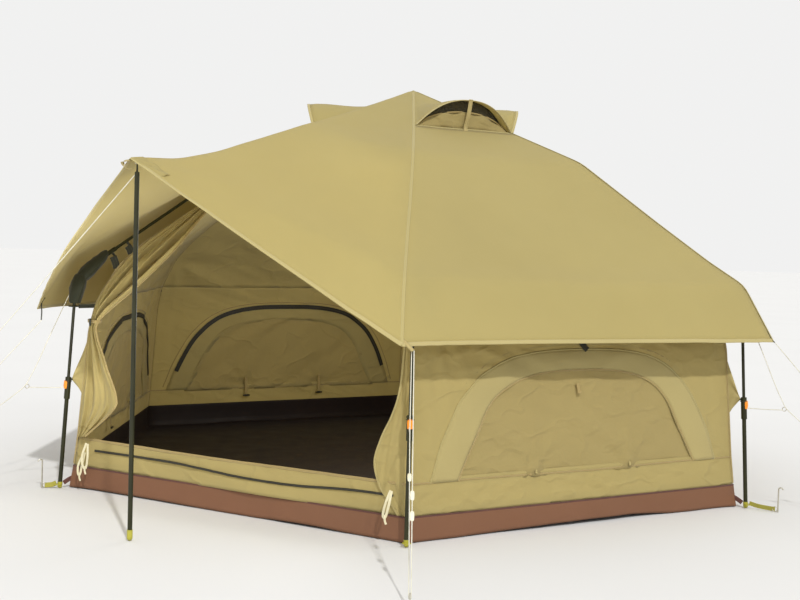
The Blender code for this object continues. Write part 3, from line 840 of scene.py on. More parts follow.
# How far along the porch's ridge each share of the way down the hip lies.
RIDGE_RUN = [
    (0.0, 0.0),
    (0.1246, 0.14),
    (0.2494, 0.28),
    (0.4429, 0.45),
    (0.6563, 0.62),
    (0.7905, 0.76),
    (0.8744, 0.87),
    (1.0, 1.0),
]
PEAK = Vector((0, 0, 2.083))
CANOPY_CORNER = Vector((0, -2.290, 1.545))
LINE_START = (2.033, 0.818)


def hip_point(share, bearing):
    at = share * HIP_STEPS
    low = min(HIP_STEPS - 1, int(at))
    flat = HIP[low].lerp(HIP[low + 1], at - low)
    return around(flat.x, flat.y, bearing)


def tension(point, anchor, reach, depth, folds):
    """Small folds that fan out from a loaded corner and die away."""
    gap = point - anchor
    far = gap.length
    if far > 4 * reach or far < 0.01:
        return 0.0
    turn_angle = math.atan2(gap.z, math.hypot(gap.x, gap.y)) + 0.6 * math.atan2(gap.y, gap.x)
    return depth * math.exp(-far / reach) * math.sin(folds * turn_angle) * smoothstep(0.0, 0.12, far)


def stretched_tip(point):
    """The flysheet's two front corners are pulled out of true by their lines."""
    left, near = around(*LINE_START, -120), around(*LINE_START, -60)
    share = math.exp(-(((point - left).length / 0.80) ** 2))
    move = (around(0.022, 0, -135) + UP * 0.050) * share
    share = math.exp(-(((point - near).length / 1.00) ** 2))
    return move + Vector((-0.040, -0.022, 0.014)) * share


def side_panel(corner, share, across, lifted):
    """A place on one of the five plain panels, and the way it faces."""
    bearing = CORNERS[corner]
    outward = level_way(bearing + 30)
    point = hip_point(share, bearing).lerp(hip_point(share, bearing + 60), across)
    hang = math.sin(math.pi * across)
    inwards = Vector((-outward.x * 0.5, -outward.y * 0.5, -0.85))
    slack = 0.024 * smoothstep(0.27, 0.55, share) * (1 - 0.8 * smoothstep(0.80, 0.90, share))
    if corner not in VENTED:
        slack += 0.010 * smoothstep(0.03, 0.2, share) * (1 - smoothstep(0.4, 0.6, share))
    point += inwards * slack * hang
    point += UP * 0.010 * hang * smoothstep(0.93, 1.0, share)
    if lifted:
        swell = max(0.0, 1 - abs((2 * across - 1) / 0.96) ** 2.4)
        rise = smoothstep(VENT_TOP - 0.04, VENT_SLIT + 0.03, share) * 1.06
        point += swell * rise * (0.045 * outward + 0.146 * UP)
    return point, (outward * 0.6 + UP * 0.8).normalized()


def porch_panel(share, across):
    """A place on the front panel, which has a sagging ridge out to the porch pole, and the way it faces."""
    start, end = hip_point(share, -120), hip_point(share, -60)
    run = between(RIDGE_RUN, share)
    dip = 0.036 * smoothstep(0.42, 0.80, run) * (1 - smoothstep(0.84, 1.0, run))
    ridge = PEAK.lerp(CANOPY_CORNER, run) - Vector((0, 0, 0.030 * 4 * run * (1 - run) + dip))
    half = 2 * across if across <= 0.5 else 2 * across - 1
    near, far = (start, ridge) if across <= 0.5 else (ridge, end)
    point = near.lerp(far, half)
    hang = math.sin(math.pi * half)
    point += Vector((0, 0.004, -0.022)) * hang * smoothstep(0.05, 0.4, share)
    pull = (PEAK - ridge).normalized() * 0.022 if across > 0.5 else Vector((-0.050, -0.012, 0.012))
    point += pull * hang * smoothstep(0.65, 1.0, share)
    ease = max(0.0, 1 - abs(across - 0.5) / 0.05)
    point.z -= 0.006 * ease * ease * smoothstep(0.02, 0.2, share) * (1 - smoothstep(0.93, 1.0, share))
    return point, Vector((0.4 if across > 0.5 else -0.4, -0.3, 0.85)).normalized()


def fly_point(corner, share, across, lifted=False):
    """A place on the panel after a corner, by its share of the way down and across."""
    bearing = CORNERS[corner]
    porch = corner == "front_left"
    point, normal = porch_panel(share, across) if porch else side_panel(corner, share, across, lifted)
    move = 0.0045 * noise.noise(point * 1.9) + 0.0018 * noise.noise(point * 6.1)
    for tip_bearing in (bearing, bearing + 60):
        move += tension(point, around(1.90, 1.06, tip_bearing), 0.20, 0.0045, 16)
        move += tension(point, around(2.03, 0.82, tip_bearing), 0.12, 0.004, 12)
    if porch:
        move += tension(point, CANOPY_CORNER, 0.28, 0.007, 15)
    edge = smoothstep(0.0, 0.04, across) * smoothstep(0.0, 0.04, 1 - across)
    point += stretched_tip(point)
    return point + normal * move * edge * smoothstep(0.0, 0.05, share)


def fly_rows(corner):
    """Rows of points from the peak to the hem, as one list, or two where the panel is slit for its vent."""
    steps = 84 if corner == "front_left" else 40
    columns = [j / steps for j in range(steps + 1)]
    upper = [VENT_SLIT * i / 12 for i in range(13)]
    lower = [VENT_SLIT + (1 - VENT_SLIT) * (i / 46) for i in range(47)]
    if corner not in VENTED:
        return [[[fly_point(corner, s, t) for t in columns] for s in upper + lower[1:]]]
    return [
        [[fly_point(corner, s, t, True) for t in columns] for s in upper],
        [[fly_point(corner, s, t) for t in columns] for s in lower],
    ]


def join_meshes(name, meshes, material):
    shape = bmesh.new()
    for mesh in meshes:
        shape.from_mesh(mesh)
    bmesh.ops.remove_doubles(shape, verts=shape.verts, dist=0.0002)
    bmesh.ops.recalc_face_normals(shape, faces=shape.faces)
    if sum(face.normal.z for face in shape.faces) < 0:
        bmesh.ops.reverse_faces(shape, faces=shape.faces)
    return make(name, finished(shape, name), material, 66)


def hip_seam(corner, bearing):
    """Flat-felled seam down a hip."""
    line = [fly_point(corner, 0.012 + 0.982 * i / 80, 0.0) for i in range(81)]
    aside = level_way(bearing + 90)
    crosses = [aside.cross(way) for way in tangents(line)]
    normals = [cross.normalized() * (1 if cross.z > 0 else -1) for cross in crosses]
    line = [point + normal * 0.0004 for point, normal in zip(line, normals)]
    return tape(f"fly_seam_{corner}", line, normals, 0.014, 0.0018, fly_seam)


def fly_hem(corner):
    """Double-turned hem along a panel's lower edge."""
    porch = corner == "front_left"
    count = 120 if porch else 60
    edge, inner = ([fly_point(corner, share, j / count) for j in range(count + 1)] for share in (1.0, 0.985))
    inwards = [(b - a).normalized() for a, b in zip(edge, inner)]
    if porch:
        middle = len(edge) // 2
        edge[middle - 1] = edge[middle - 1].lerp(edge[middle], 0.5)
    line = [a + 0.0085 * way for a, way in zip(edge, inwards)]
    normals = [inward.cross(way).normalized() for inward, way in zip(inwards, tangents(line))]
    return tape(f"fly_hem_{corner}", line, normals, 0.019, 0.0042, fly_edge)


def guy_tab(corner, bearing):
    """Webbing tab that takes the guy line at a tip."""
    tip = fly_point(corner, 0.985, 0.0)
    out = (hip_point(1.0, bearing) - hip_point(0.9, bearing)).normalized()
    normal = level_way(bearing + 90).cross(out).normalized()
    end = around(*LINE_START, bearing)
    spots = [tip - out * 0.03 + normal * 0.004, tip + normal * 0.003, tip.lerp(end, 0.5) + normal * 0.003, end]
    material = strap_sand if corner == "front_right" else strap_dark
    return strip(f"fly_tab_{corner}", spots, 16, normal, 0.016, 0.0022, material)


def vent(corner, bearing):
    """A hood's hem, sill, fill, net, piping and strut. The fill is placed here, and the rest is returned."""
    outward = level_way(bearing + 30)
    columns = [0.025 + 0.95 * j / VENT_STEPS for j in range(VENT_STEPS + 1)]
    flap = [fly_point(corner, VENT_SLIT, t, True) for t in columns]
    back = [fly_point(corner, VENT_SLIT - 0.02, t, True) for t in columns]
    sill = [fly_point(corner, VENT_SLIT, t) for t in columns]
    inwards = [(b - a).normalized() for a, b in zip(flap, back)]
    normals = [inward.cross(way).normalized() for inward, way in zip(inwards, tangents(flap))]
    line = [a + way * 0.005 for a, way in zip(flap, inwards)]
    trims = [tape(f"vent_hem_{corner}", line, normals, 0.014, 0.0046, fly_edge)]
    line = [point + UP * 0.0012 - outward * 0.004 for point in sill]
    facing = outward * 0.62 + UP * 0.78
    trims.append(tape(f"vent_sill_{corner}", line, facing, 0.013, 0.0042, fly_seam))
    # Cloth fill below and net above, set back under the flap.
    inset = [fly_point(corner, VENT_SLIT - 0.022, t, True) - UP * 0.003 for t in columns]
    low = [point - outward * 0.010 + UP * 0.001 for point in sill]

    def fill_rows(first, last):
        rows = []
        for i in range(5):
            share = first + (last - first) * i / 4
            rows.append(
                [
                    a.lerp(b, share)
                    + outward * 0.006 * math.sin(math.pi * share) * math.sin(9 * j / VENT_STEPS * math.pi)
                    for j, (a, b) in enumerate(zip(low, inset))
                ]
            )
        return rows

    fill = sheet_piece(f"vent_fill_{corner}", fill_rows(0.0, 0.60), window_cloth, 0.0014)
    mesh_top = sheet_piece(f"vent_mesh_{corner}", fill_rows(0.60, 1.0), vent_net, 0.0008)
    line = [a.lerp(b, 0.60) + outward * 0.003 for a, b in zip(low, inset)]
    trims.append(tape(f"vent_piping_{corner}", line, outward, 0.007, 0.0030, seam_cloth))
    trims.append(mesh_top)
    place(fill, "fly_cloth")
    # Strut that props the flap, a folded tape sewn to the flap's edge and to the sill.
    middle = VENT_STEPS // 2
    a, b, inward, normal = flap[middle], sill[middle], inwards[middle], normals[middle]
    spots = [
        a + inward * 0.045 + normal * 0.004,
        a + normal * 0.004,
        a - inward * 0.004,
        a.lerp(b, 0.5) + outward * 0.010,
        b + outward * 0.008,
        b - UP * 0.040 + outward * 0.062,
    ]
    line = route(spots, 30)
    aside = level_way(bearing + 120)
    faces = [aside.cross(way).normalized() for way in tangents(line)]
    trims.append(tape(f"vent_strut_{corner}", line, faces, 0.024, 0.0022, strap_sand))
    return trims


def porch_corner():
    """Doubled patch, an eyelet for the pole's spike, and a loop for the guy line."""
    rows = []
    for i in range(13):
        share = 0.966 + 0.031 * i / 12
        shares = (0.5 + (t / 20 - 0.5) * 0.10 for t in range(21))
        rows.append([fly_point("front_left", share, t) + UP * 0.0022 for t in shares])
    patch = sheet_piece("porch_patch", rows, fly_cloth, 0.0016)
    spike = Vector((0, -2.257, 1.531))
    eyelet = ring("porch_eyelet", spike, Vector((0, 0.23, 1)), 0.0085, 0.0022, peg_steel)
    spots = [
        Vector((-0.004, -2.262, 1.538)),
        Vector((-0.016, -2.285, 1.543)),
        Vector((-0.030, -2.305, 1.535)),
        Vector((-0.036, -2.300, 1.519)),
        Vector((-0.022, -2.278, 1.508)),
        Vector((-0.010, -2.268, 1.512)),
    ]
    facing = Vector((0.45, 0.3, 1)).normalized()
    return [patch, eyelet, strip("porch_loop", spots, 18, facing, 0.022, 0.0018, strap_sand)]


fly_meshes = [grid_mesh("panel", rows) for corner in ORDER for rows in fly_rows(corner)]
flysheet = thicken(join_meshes("flysheet_cloth", fly_meshes, fly_cloth), 0.0016, -1.0)
fly_trim = []
for corner, bearing in CORNERS.items():
    fly_trim += [hip_seam(corner, bearing), fly_hem(corner), guy_tab(corner, bearing)]
for corner in VENTED:
    fly_trim += vent(corner, CORNERS[corner])
fly_trim += porch_corner()
place_all(fly_trim + [flysheet], "fly_cloth")
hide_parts("flysheet")


# ---------------------------------------------------------------- inner tent

INNER_STEPS = 140
ROOF_TOP, WALL_TOP, SEAM, WALL_FOOT = 1.955, 0.905, 0.240, 0.106
# The inner tent's corner from the floor to the peak, as (radius, height).
INNER_CORNER = [
    Vector((1.865, 0.0)),
    Vector((1.862, 0.1135)),
    Vector((1.845, 0.250)),
    Vector((1.800, 0.770)),
    Vector((1.767, 0.902)),
    Vector((1.660, 1.080)),
    Vector((1.530, 1.200)),
    Vector((1.000, 1.565)),
    Vector((0.0, 1.955)),
]
INNER_TABLE = [(point.y, point.x) for point in soften(even(INNER_CORNER, 401), 10)]
# Half of a window's opening and of its zip line, as (across, height).
OPENING = [(0.675, 0.240), (0.590, 0.40), (0.505, 0.55), (0.385, 0.640), (0.20, 0.684), (0.0, 0.692)]
ZIP_LINE = [(0.815, 0.240), (0.745, 0.42), (0.635, 0.60), (0.475, 0.722), (0.27, 0.773), (0.0, 0.784)]
ARCH_TOP = 50
TOGGLE_PLACES = (-0.27, 0.27)


def inner_radius(height):
    return between(INNER_TABLE, height)


def corner_spot(height, bearing, out=0.0):
    """A place on the inner tent's corner, or out from it."""
    return around(inner_radius(height) + out, height, bearing)


def inner_point(bearing, across, height):
    """A point of the inner tent between two corners, hung slack from its hooks."""
    radius = inner_radius(height)
    point = around(radius, height, bearing).lerp(around(radius, height, bearing + 60), across)
    lean = smoothstep(0.85, 1.25, height)
    normal = (level_way(bearing + 30) + Vector((0, 0, 1.3 * lean))).normalized()
    hang = max(0.0, math.sin(math.pi * across))
    slack = 0.042 * hang * smoothstep(0.95, 1.35, height) * (1 - smoothstep(1.75, 1.95, height))
    slack += 0.016 * hang * smoothstep(0.30, 0.80, height) * (1 - smoothstep(1.0, 1.3, height))
    rise = point.z * 5.0
    slant = Vector((point.x * 3.0 + rise, point.y * 3.0 + rise, point.z * 6.5 - 3.0 * across))
    crease = max(0.0, 0.42 - abs(noise.noise(slant * 1.35))) * smoothstep(0.50, 0.78, height)
    crease += 0.8 * max(0.0, 0.30 - abs(noise.noise(slant * 2.1))) * (1 - smoothstep(0.16, 0.30, height))
    rough = 0.010 * noise.noise(point * 2.3) + 0.0045 * noise.noise(point * 7.0) + 0.026 * crease
    move = -slack + rough * hang**0.5
    for corner_bearing in (bearing, bearing + 60):
        hook = around(1.66, 1.08, corner_bearing)
        foot = around(1.86, 0.12, corner_bearing)
        move += tension(point, hook, 0.34, 0.0125, 15) + tension(point, foot, 0.16, 0.005, 13)
    rest = smoothstep(0.0, 0.07, across) * smoothstep(0.0, 0.07, 1 - across)
    return point + normal * move * rest * smoothstep(0.10, 0.20, height)


def wall_spot(bearing, x, height, out=0.0):
    """A place on a wall, x metres to the right of its middle as seen from inside the tent."""
    return inner_point(bearing, 0.5 + x / inner_radius(height), height) + around(out, 0, bearing + 30)


def arch_line(half):
    whole = [(-x, z) for x, z in half] + half[-2::-1]
    return [(p.x, p.y) for p in route([Vector(k) for k in whole], 2 * ARCH_TOP + 1)]


opening_arch, zip_arch = arch_line(OPENING), arch_line(ZIP_LINE)
HALF_WIDTHS = [(z, x) for x, z in opening_arch[ARCH_TOP:]][::-1]
FACING_MIDDLE = sorted(
    ((b + d) / 2, (a + c) / 2) for (a, b), (c, d) in list(zip(opening_arch, zip_arch))[ARCH_TOP:]
)


def inside_window(x, z):
    """Whether a place on a wall is within the line halfway across the window's facing."""
    return 0.255 < z < FACING_MIDDLE[-1][0] and abs(x) < between(FACING_MIDDLE, z)


def pucker(x, z):
    """Gathers in a window panel round its two toggles."""
    total = 0.0
    for centre in TOGGLE_PLACES:
        dx, dz = x - centre, z - 0.262
        far = math.hypot(dx, dz)
        rays = 0.0105 * math.exp(-far / 0.12) * math.sin(9 * math.atan2(dz, dx))
        total += 0.016 * math.exp(-far / 0.040) + rays
    return total


def facing_row(bearing, share, out, ripple=0.0, layer=0.0):
    """Places on a wall at a share of the way from the window's opening to its zip line."""
    row = []
    for (a, b), (c, d) in zip(opening_arch, zip_arch):
        rough = ripple * noise.noise(Vector((14 * a, 14 * b, layer)))
        row.append(wall_spot(bearing, a + (c - a) * share, b + (d - b) * share, out + rough))
    return row


def window_panel(corner, bearing):
    """The panel that closes a window, with creases and with gathers at its toggles."""
    rows = []
    for i in range(27):
        z = 0.231 + 0.474 * i / 26
        half = between(HALF_WIDTHS, max(0.241, z - 0.012)) + 0.020
        row = []
        for x in (half * (2 * j / 60 - 1) for j in range(61)):
            soft_fold = 0.011 * noise.noise(Vector((2.2 * x + 2.6 * z, 7.5 * z + 4.0 * x, bearing * 0.1)))
            fine_fold = 0.0048 * noise.noise(Vector((9 * x + 5 * z, 14 * z + 6 * x, bearing * 0.1)))
            row.append(wall_spot(bearing, x, z, -0.004 + pucker(x, z) + soft_fold + fine_fold))
        rows.append(row)
    return sheet_piece(f"window_{corner}", rows, window_cloth, 0.0011)


def toggle(name, spots, thin, thick):
    """A short bar, thinner at its ends."""
    return tube(name, spots, dark_plastic, radii=[thin, thick, thick, thin])


def wall_side(corner):
    """One wall with its window, its facings, seams, zip, toggles and tabs."""
    bearing = CORNERS[corner]
    outward = level_way(bearing + 30)
    columns = [j / INNER_STEPS for j in range(INNER_STEPS + 1)]
    heights = [WALL_FOOT + (WALL_TOP - WALL_FOOT) * i / 62 for i in range(63)]

    def in_window(i, j):
        z = (heights[i] + heights[i + 1]) / 2
        return inside_window(((columns[j] + columns[j + 1]) / 2 - 0.5) * inner_radius(z), z)

    rows = [[inner_point(bearing, t, z) for t in columns] for z in heights]
    wall = sheet_piece(f"wall_{corner}", rows, inner_cloth, 0.0012, -1.0, in_window)
    # Facings round the window, outside and inside.
    rows = []
    for k in range(7):
        share = -0.04 + 1.08 * k / 6
        swell = 0.0035 * math.sin(math.pi * min(1, max(0, share)))
        rows.append(facing_row(bearing, share, 0.0006 + swell, 0.0012, k * 0.3))
    trims = [sheet_piece(f"facing_{corner}", rows, facing_cloth, 0.0034)]
    rows = [facing_row(bearing, share, -0.0040) for share in (-0.03, 0.2, 0.4, 0.6, 0.8, 1.02)]
    trims.append(sheet_piece(f"inner_facing_{corner}", rows, inner_cloth, 0.0030))
    panel = window_panel(corner, bearing)
    zip_run = [(x * 0.985, z * 0.992) for x, z in zip_arch[7:-7]]
    flap_run = [(x * 1.030, z + 0.022) for x, z in zip_arch]
    for name, line, out, width, depth, material in (
        # window_edge is a binding along the opening whose dark colour also paints the shadow line along the
        # arch.
        ("window_edge", opening_arch, 0.0036, 0.008, 0.0036, seam_cloth),
        ("facing_edge", zip_arch, 0.0030, 0.006, 0.0024, fly_seam),
        ("window_zip", zip_run, -0.0088, 0.028, 0.0034, zip_dark),
        ("zip_flap_edge", flap_run, -0.0026, 0.007, 0.0044, seam_cloth),
    ):
        spots = [wall_spot(bearing, x, z, out) for x, z in line]
        trims.append(tape(f"{name}_{corner}", spots, outward, width, depth, material))
    # Seam above the bottom strip.
    seam = [inner_point(bearing, t, SEAM + 0.003 * math.sin(9 * t)) for t in columns]
    trims.append(tape(f"low_seam_{corner}", seam, outward, 0.0085, 0.0062, seam_cloth))
    # Toggles and loops under the window, and tabs above it.
    for number, x in enumerate(TOGGLE_PLACES):
        drop = enumerate((0.310, 0.272, 0.232, 0.190))
        hang = [wall_spot(bearing, x, z, -0.010 - 0.006 * k) for k, z in drop]
        trims.append(strip(f"toggle_strap_{corner}_{number}", hang, 12, outward, 0.020, 0.0024, seam_cloth))
        bar = [wall_spot(bearing, x + d, 0.192, -0.032) for d in (-0.024, -0.008, 0.008, 0.024)]
        trims.append(toggle(f"toggle_{corner}_{number}", bar, 0.0044, 0.0066))
        out = [wall_spot(bearing, x, z, 0.010 + 0.003 * k) for k, z in enumerate((0.286, 0.266, 0.247))]
        trims.append(strip(f"toggle_tab_{corner}_{number}", out, 10, outward, 0.011, 0.0020, facing_cloth))
    drop = enumerate((0.828, 0.812, 0.796, 0.782))
    tab = [wall_spot(bearing, 0.012 * k, z, 0.004 + 0.004 * k) for k, z in drop]
    trims.append(strip(f"wall_tab_{corner}", tab, 10, outward, 0.028, 0.0026, strap_dark))
    drop = enumerate((0.632, 0.610, 0.588))
    tab = [wall_spot(bearing, -0.02 + 0.002 * k, z, 0.007 + 0.003 * k) for k, z in drop]
    trims.append(strip(f"panel_tab_{corner}", tab, 8, outward, 0.020, 0.0020, seam_cloth))
    place_all(trims + [wall, panel], "inner_cloth")
    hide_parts(f"inner_wall_{corner}")


for corner in ORDER[1:]:
    wall_side(corner)

# Roof: five gores down to the walls, and the front one down to the top of the doorway.
DOORWAY_TOP = 1.545


def gore(corner):
    foot, steps = (DOORWAY_TOP, 20) if corner == "front_left" else (WALL_TOP, 46)
    heights = [foot + (ROOF_TOP - foot) * i / steps for i in range(steps + 1)]
    columns = [j / INNER_STEPS for j in range(INNER_STEPS + 1)]
    return grid_mesh("gore", [[inner_point(CORNERS[corner], t, z) for t in columns] for z in heights])


roof_meshes = [gore(corner) for corner in ORDER]
inner_roof = thicken(join_meshes("inner_roof_sheet", roof_meshes, inner_cloth), 0.0012, -1.0)
roof_trims = []
for corner, bearing in CORNERS.items():
    line = [corner_spot(0.115 + (1.945 - 0.115) * i / 90, bearing, 0.001) for i in range(91)]
    aside = level_way(bearing + 90)
    normals = [way.cross(aside).normalized() * -1 for way in tangents(line)]
    roof_trims.append(tape(f"inner_seam_{corner}", line, normals, 0.0085, 0.0075, seam_cloth))
line = [inner_point(DOOR_SIDE, j / 60, DOORWAY_TOP + 0.003) for j in range(61)]
roof_trims.append(tape("doorway_top_binding", line, Vector((0, -0.6, 0.8)), 0.016, 0.0046, facing_cloth))
place_all(roof_trims + [inner_roof], "inner_cloth")
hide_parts("inner_roof")

# Door wall: the sill across the bottom and the loose edge at its right.
FRONT = Vector((0, -1, 0))
# The loose edge, as (height, metres to the right of the doorway's middle).
LOOSE = [
    (0.11, 0.890),
    (0.16, 0.850),
    (0.22, 0.800),
    (0.32, 0.766),
    (0.42, 0.792),
    (0.52, 0.835),
    (0.62, 0.862),
    (0.75, 0.866),
    (0.905, 0.850),
    (1.08, 0.800),
    (1.20, 0.735),
    (1.545, 0.478),
]
rows = []
for i in range(10):
    z = 0.106 + 0.140 * i / 9
    row = []
    for x in (-0.925 + 1.840 * j / 90 for j in range(91)):
        rough = 0.007 * noise.noise(Vector((2.1 * x, 9 * z, 4.0)))
        dip = 0.006 * (i / 9) * (1 - (x / 0.9) ** 2)
        spot = wall_spot(DOOR_SIDE, x, z, 0.003 + rough + 0.006 * math.sin(4.2 * x + 9 * z))
        row.append(spot - Vector((0, 0, dip)))
    rows.append(row)
sill = sheet_piece("door_sill", rows, inner_cloth, 0.0014)
sill_top = [point + Vector((0, -0.0012, -0.004)) for point in rows[-1]]
sill_trims = [tape("sill_binding", sill_top, FRONT, 0.013, 0.0050, seam_cloth)]
zip_path = []
for x in (-0.80 + 1.66 * j / 80 for j in range(81)):
    z = 0.192 - 0.022 * smoothstep(-0.35, 0.20, x) + 0.020 * smoothstep(0.30, 0.75, x)
    zip_path.append(wall_spot(DOOR_SIDE, x, z, 0.010 + 0.006 * math.sin(4.2 * x + 1.7)))
sill_trims.append(tape("sill_zip", zip_path, FRONT, 0.011, 0.0040, zip_dark))
rows = []
for z, left in route([Vector(knot) for knot in LOOSE], 90):
    right_edge = inner_radius(z) / 2
    row = []
    for j in range(15):
        share = j / 14
        x = left + (right_edge - left) * share
        curl = 0.020 * (1 - share) ** 2 * math.sin(math.pi * min(1, max(0, (z - 0.1) / 0.75)))
        fold = 0.006 * math.sin(9 * share + 5 * z) * math.sin(math.pi * share)
        across = min(1.0, 0.5 + x / inner_radius(z))
        row.append(inner_point(DOOR_SIDE, across, z) + Vector((0, -curl - fold, 0)))
    rows.append(row)
door_edge = sheet_piece("door_edge", rows, inner_cloth, 0.0014)
sill_trims.append(tape("door_edge_binding", [row[0] for row in rows], FRONT, 0.011, 0.0042, facing_cloth))
place_all(sill_trims + [sill, door_edge], "inner_cloth")
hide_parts("inner_wall_front_left")

# Door, drawn aside: it hangs from the arm in folds, is tied at the elbow's height and flares below.
# Each pair is a place on its sewn edge, as (radius, height), and the place of its free edge at that level.
PAIRS = [
    ((1.02, 1.552), (-0.505, -0.905, 1.538)),
    ((1.25, 1.396), (-0.535, -1.090, 1.385)),
    ((1.44, 1.262), (-0.572, -1.265, 1.205)),
    ((1.58, 1.155), (-0.612, -1.390, 1.085)),
    ((1.69, 1.035), (-0.665, -1.482, 0.985)),
    ((1.762, 0.920), (-0.738, -1.552, 0.895)),
    ((1.790, 0.825), (-0.800, -1.600, 0.815)),
    ((1.803, 0.745), (-0.792, -1.612, 0.742)),
    ((1.815, 0.600), (-0.722, -1.622, 0.605)),
    ((1.828, 0.480), (-0.655, -1.628, 0.470)),
    ((1.838, 0.360), (-0.668, -1.634, 0.400)),
    ((1.846, 0.240), (-0.830, -1.644, 0.262)),
]
DOOR_ROWS = 110
TIED_ROW = 60


def door_row(a, b, run):
    """One level of the drawn door, from its sewn edge to its free edge."""
    tied = 1 - 0.55 * math.exp(-(((run - 0.545) / 0.05) ** 2))
    lower = smoothstep(0.52, 0.66, run)
    deep = (0.034 * smoothstep(0.0, 0.22, run) * (1 - lower) + 0.019 * lower) * tied
    row = []
    for j in range(85):
        share = j / 84
        drift = share ** (1 - 0.25 * lower) + 0.030 * math.sin(7 * run) * share * (1 - share) * 4
        wide = 2.3 * drift + 0.35 * math.sin(3 * run)
        fold = (abs(math.sin(math.pi * wide)) ** 0.8 * 2 - 1.25) * (1 - 0.35 * lower)
        small = 0.42 * math.sin(2 * math.pi * (3.3 * drift + 0.8 * run))
        fold += small + 0.20 * math.sin(2 * math.pi * (7.1 * drift - 1.4 * run))
        fold *= smoothstep(0.0, 0.14, share)
        spot = a.lerp(b, share ** (1.10 - 0.2 * run))
        spot += Vector((0.30, -0.94, 0.16)) * deep * fold
        rough = 0.010 * noise.noise(spot * 4.0) + 0.005 * noise.noise(spot * 11)
        spot += Vector((0.3, -0.9, 0.0)) * rough * smoothstep(0, 0.1, share)
        row.append(spot)
    return row


left_line = route([around(*sewn, DOOR_SIDE) for sewn, _ in PAIRS], DOOR_ROWS)
right_line = route([Vector(free) for _, free in PAIRS], DOOR_ROWS)
rows = [door_row(a, b, i / (DOOR_ROWS - 1)) for i, (a, b) in enumerate(zip(left_line, right_line))]
door = sheet_piece("door_panel", rows, inner_cloth, 0.0014)
free_edge = [row[-1] for row in rows]
door_trims = [tape("door_panel_binding", free_edge, Vector((0.2, -1, 0)), 0.010, 0.0040, seam_cloth)]
left, right = left_line[TIED_ROW], right_line[TIED_ROW]
centre, reach = (left + right) / 2, (right - left) * 0.56
depth_way = UP.cross(reach).normalized() * 0.027
wrap = []
for t in full_turn(32):
    wrap.append(centre + reach * math.cos(t) + depth_way * math.sin(t) + Vector((0, 0, 0.006 * math.cos(t))))
outs = [(point - centre).normalized() for point in wrap]
door_trims.append(tape("door_tie", wrap, outs, 0.016, 0.0026, seam_cloth, closed=True))
bar = [centre + reach * 0.55 - depth_way * 1.25 + Vector((0, 0, d)) for d in (-0.018, -0.006, 0.006, 0.018)]
door_trims.append(toggle("door_tie_toggle", bar, 0.004, 0.0056))
place_all(door_trims + [door], "inner_cloth")
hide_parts("door_flap")


def corner_ear(corner, bearing):
    """The gusset that pulls an inner corner out to the leg, with the corner's straps."""
    base = [corner_spot(0.735 - 0.29 * k / 16, bearing) for k in range(17)]
    apex = around(1.880, 0.530, bearing)
    aside = level_way(bearing + 90)
    rows = []
    for share in (i / 11 for i in range(12)):
        pinch = share**0.75
        row = []
        for k, point in enumerate(base):
            straight = point.lerp(apex + Vector((0, 0, 0.010 * (8 - k) / 8)), share)
            pinched = base[8].lerp(apex, share) + (point - base[8]) * (1 - pinch)
            ripple = 0.004 * math.sin(5 * share + 0.8 * k) * math.sin(math.pi * share)
            row.append(straight.lerp(pinched, 0.65) + aside * ripple)
        rows.append(row)
    ear = sheet_piece(f"corner_ear_{corner}", rows, facing_cloth, 0.0022)
    spots = [apex + aside * d + around(0.004, 0, bearing) for d in (-0.016, -0.006, 0.006, 0.016)]
    trims = [toggle(f"ear_toggle_{corner}", spots, 0.0035, 0.005)]
    # Strap from the leg's top to the corner.
    spots = [
        leg_spot(STRAP_HEIGHT, bearing, -0.022),
        around(1.825, 0.885, bearing),
        corner_spot(0.886, bearing, -0.004),
    ]
    trims.append(strip(f"corner_strap_{corner}", spots, 10, aside, 0.020, 0.0030, strap_dark))
    # Red strap from the skirt's corner to the foot.
    spots = [around(1.858, 0.052, bearing), around(1.885, 0.040, bearing), around(1.912, 0.024, bearing)]
    red = strip(f"skirt_strap_{corner}", spots, 10, aside, 0.022, 0.0030, strap_red)
    place_all(trims + [ear], "inner_cloth")
    place(red, "floor_cloth")
    centre = leg_spot(STRAP_HEIGHT, bearing, 0.0015)
    strap_ring = ring(f"strap_ring_{corner}", centre, UP, 0.0235, 0.0024, dark_plastic)
    place(strap_ring, "hub_plastic", f"leg_rod_{corner}")


for corner, bearing in CORNERS.items():
    corner_ear(corner, bearing)

# Bathtub: red-brown skirt outside, and inside a near-black floor whose darkness is painted shade of the tent's
# inside.
SKIRT_FOOT, SKIRT_TOP = 0.0022, 0.1090
# The tub's section, as (radius, height).
TUB = [
    (0.0, 0.0045),
    (0.35, 0.0045),
    (0.75, 0.0045),
    (1.15, 0.0045),
    (1.50, 0.0045),
    (1.70, 0.005),
    (1.80, 0.006),
    (1.838, 0.012),
    (1.848, 0.040),
    (1.850, 0.085),
    (1.848, 0.145),
]


def six_sides(radius, height, count):
    """Places round the hexagon and back to the first, each with its side's bearing and the share along it."""
    for k in range(6 * count + 1):
        side_at, along = divmod(k % (6 * count), count)
        bearing = -120 + 60 * side_at
        start, end = around(radius, height, bearing), around(radius, height, bearing + 60)
        yield bearing, along / count, start.lerp(end, along / count)


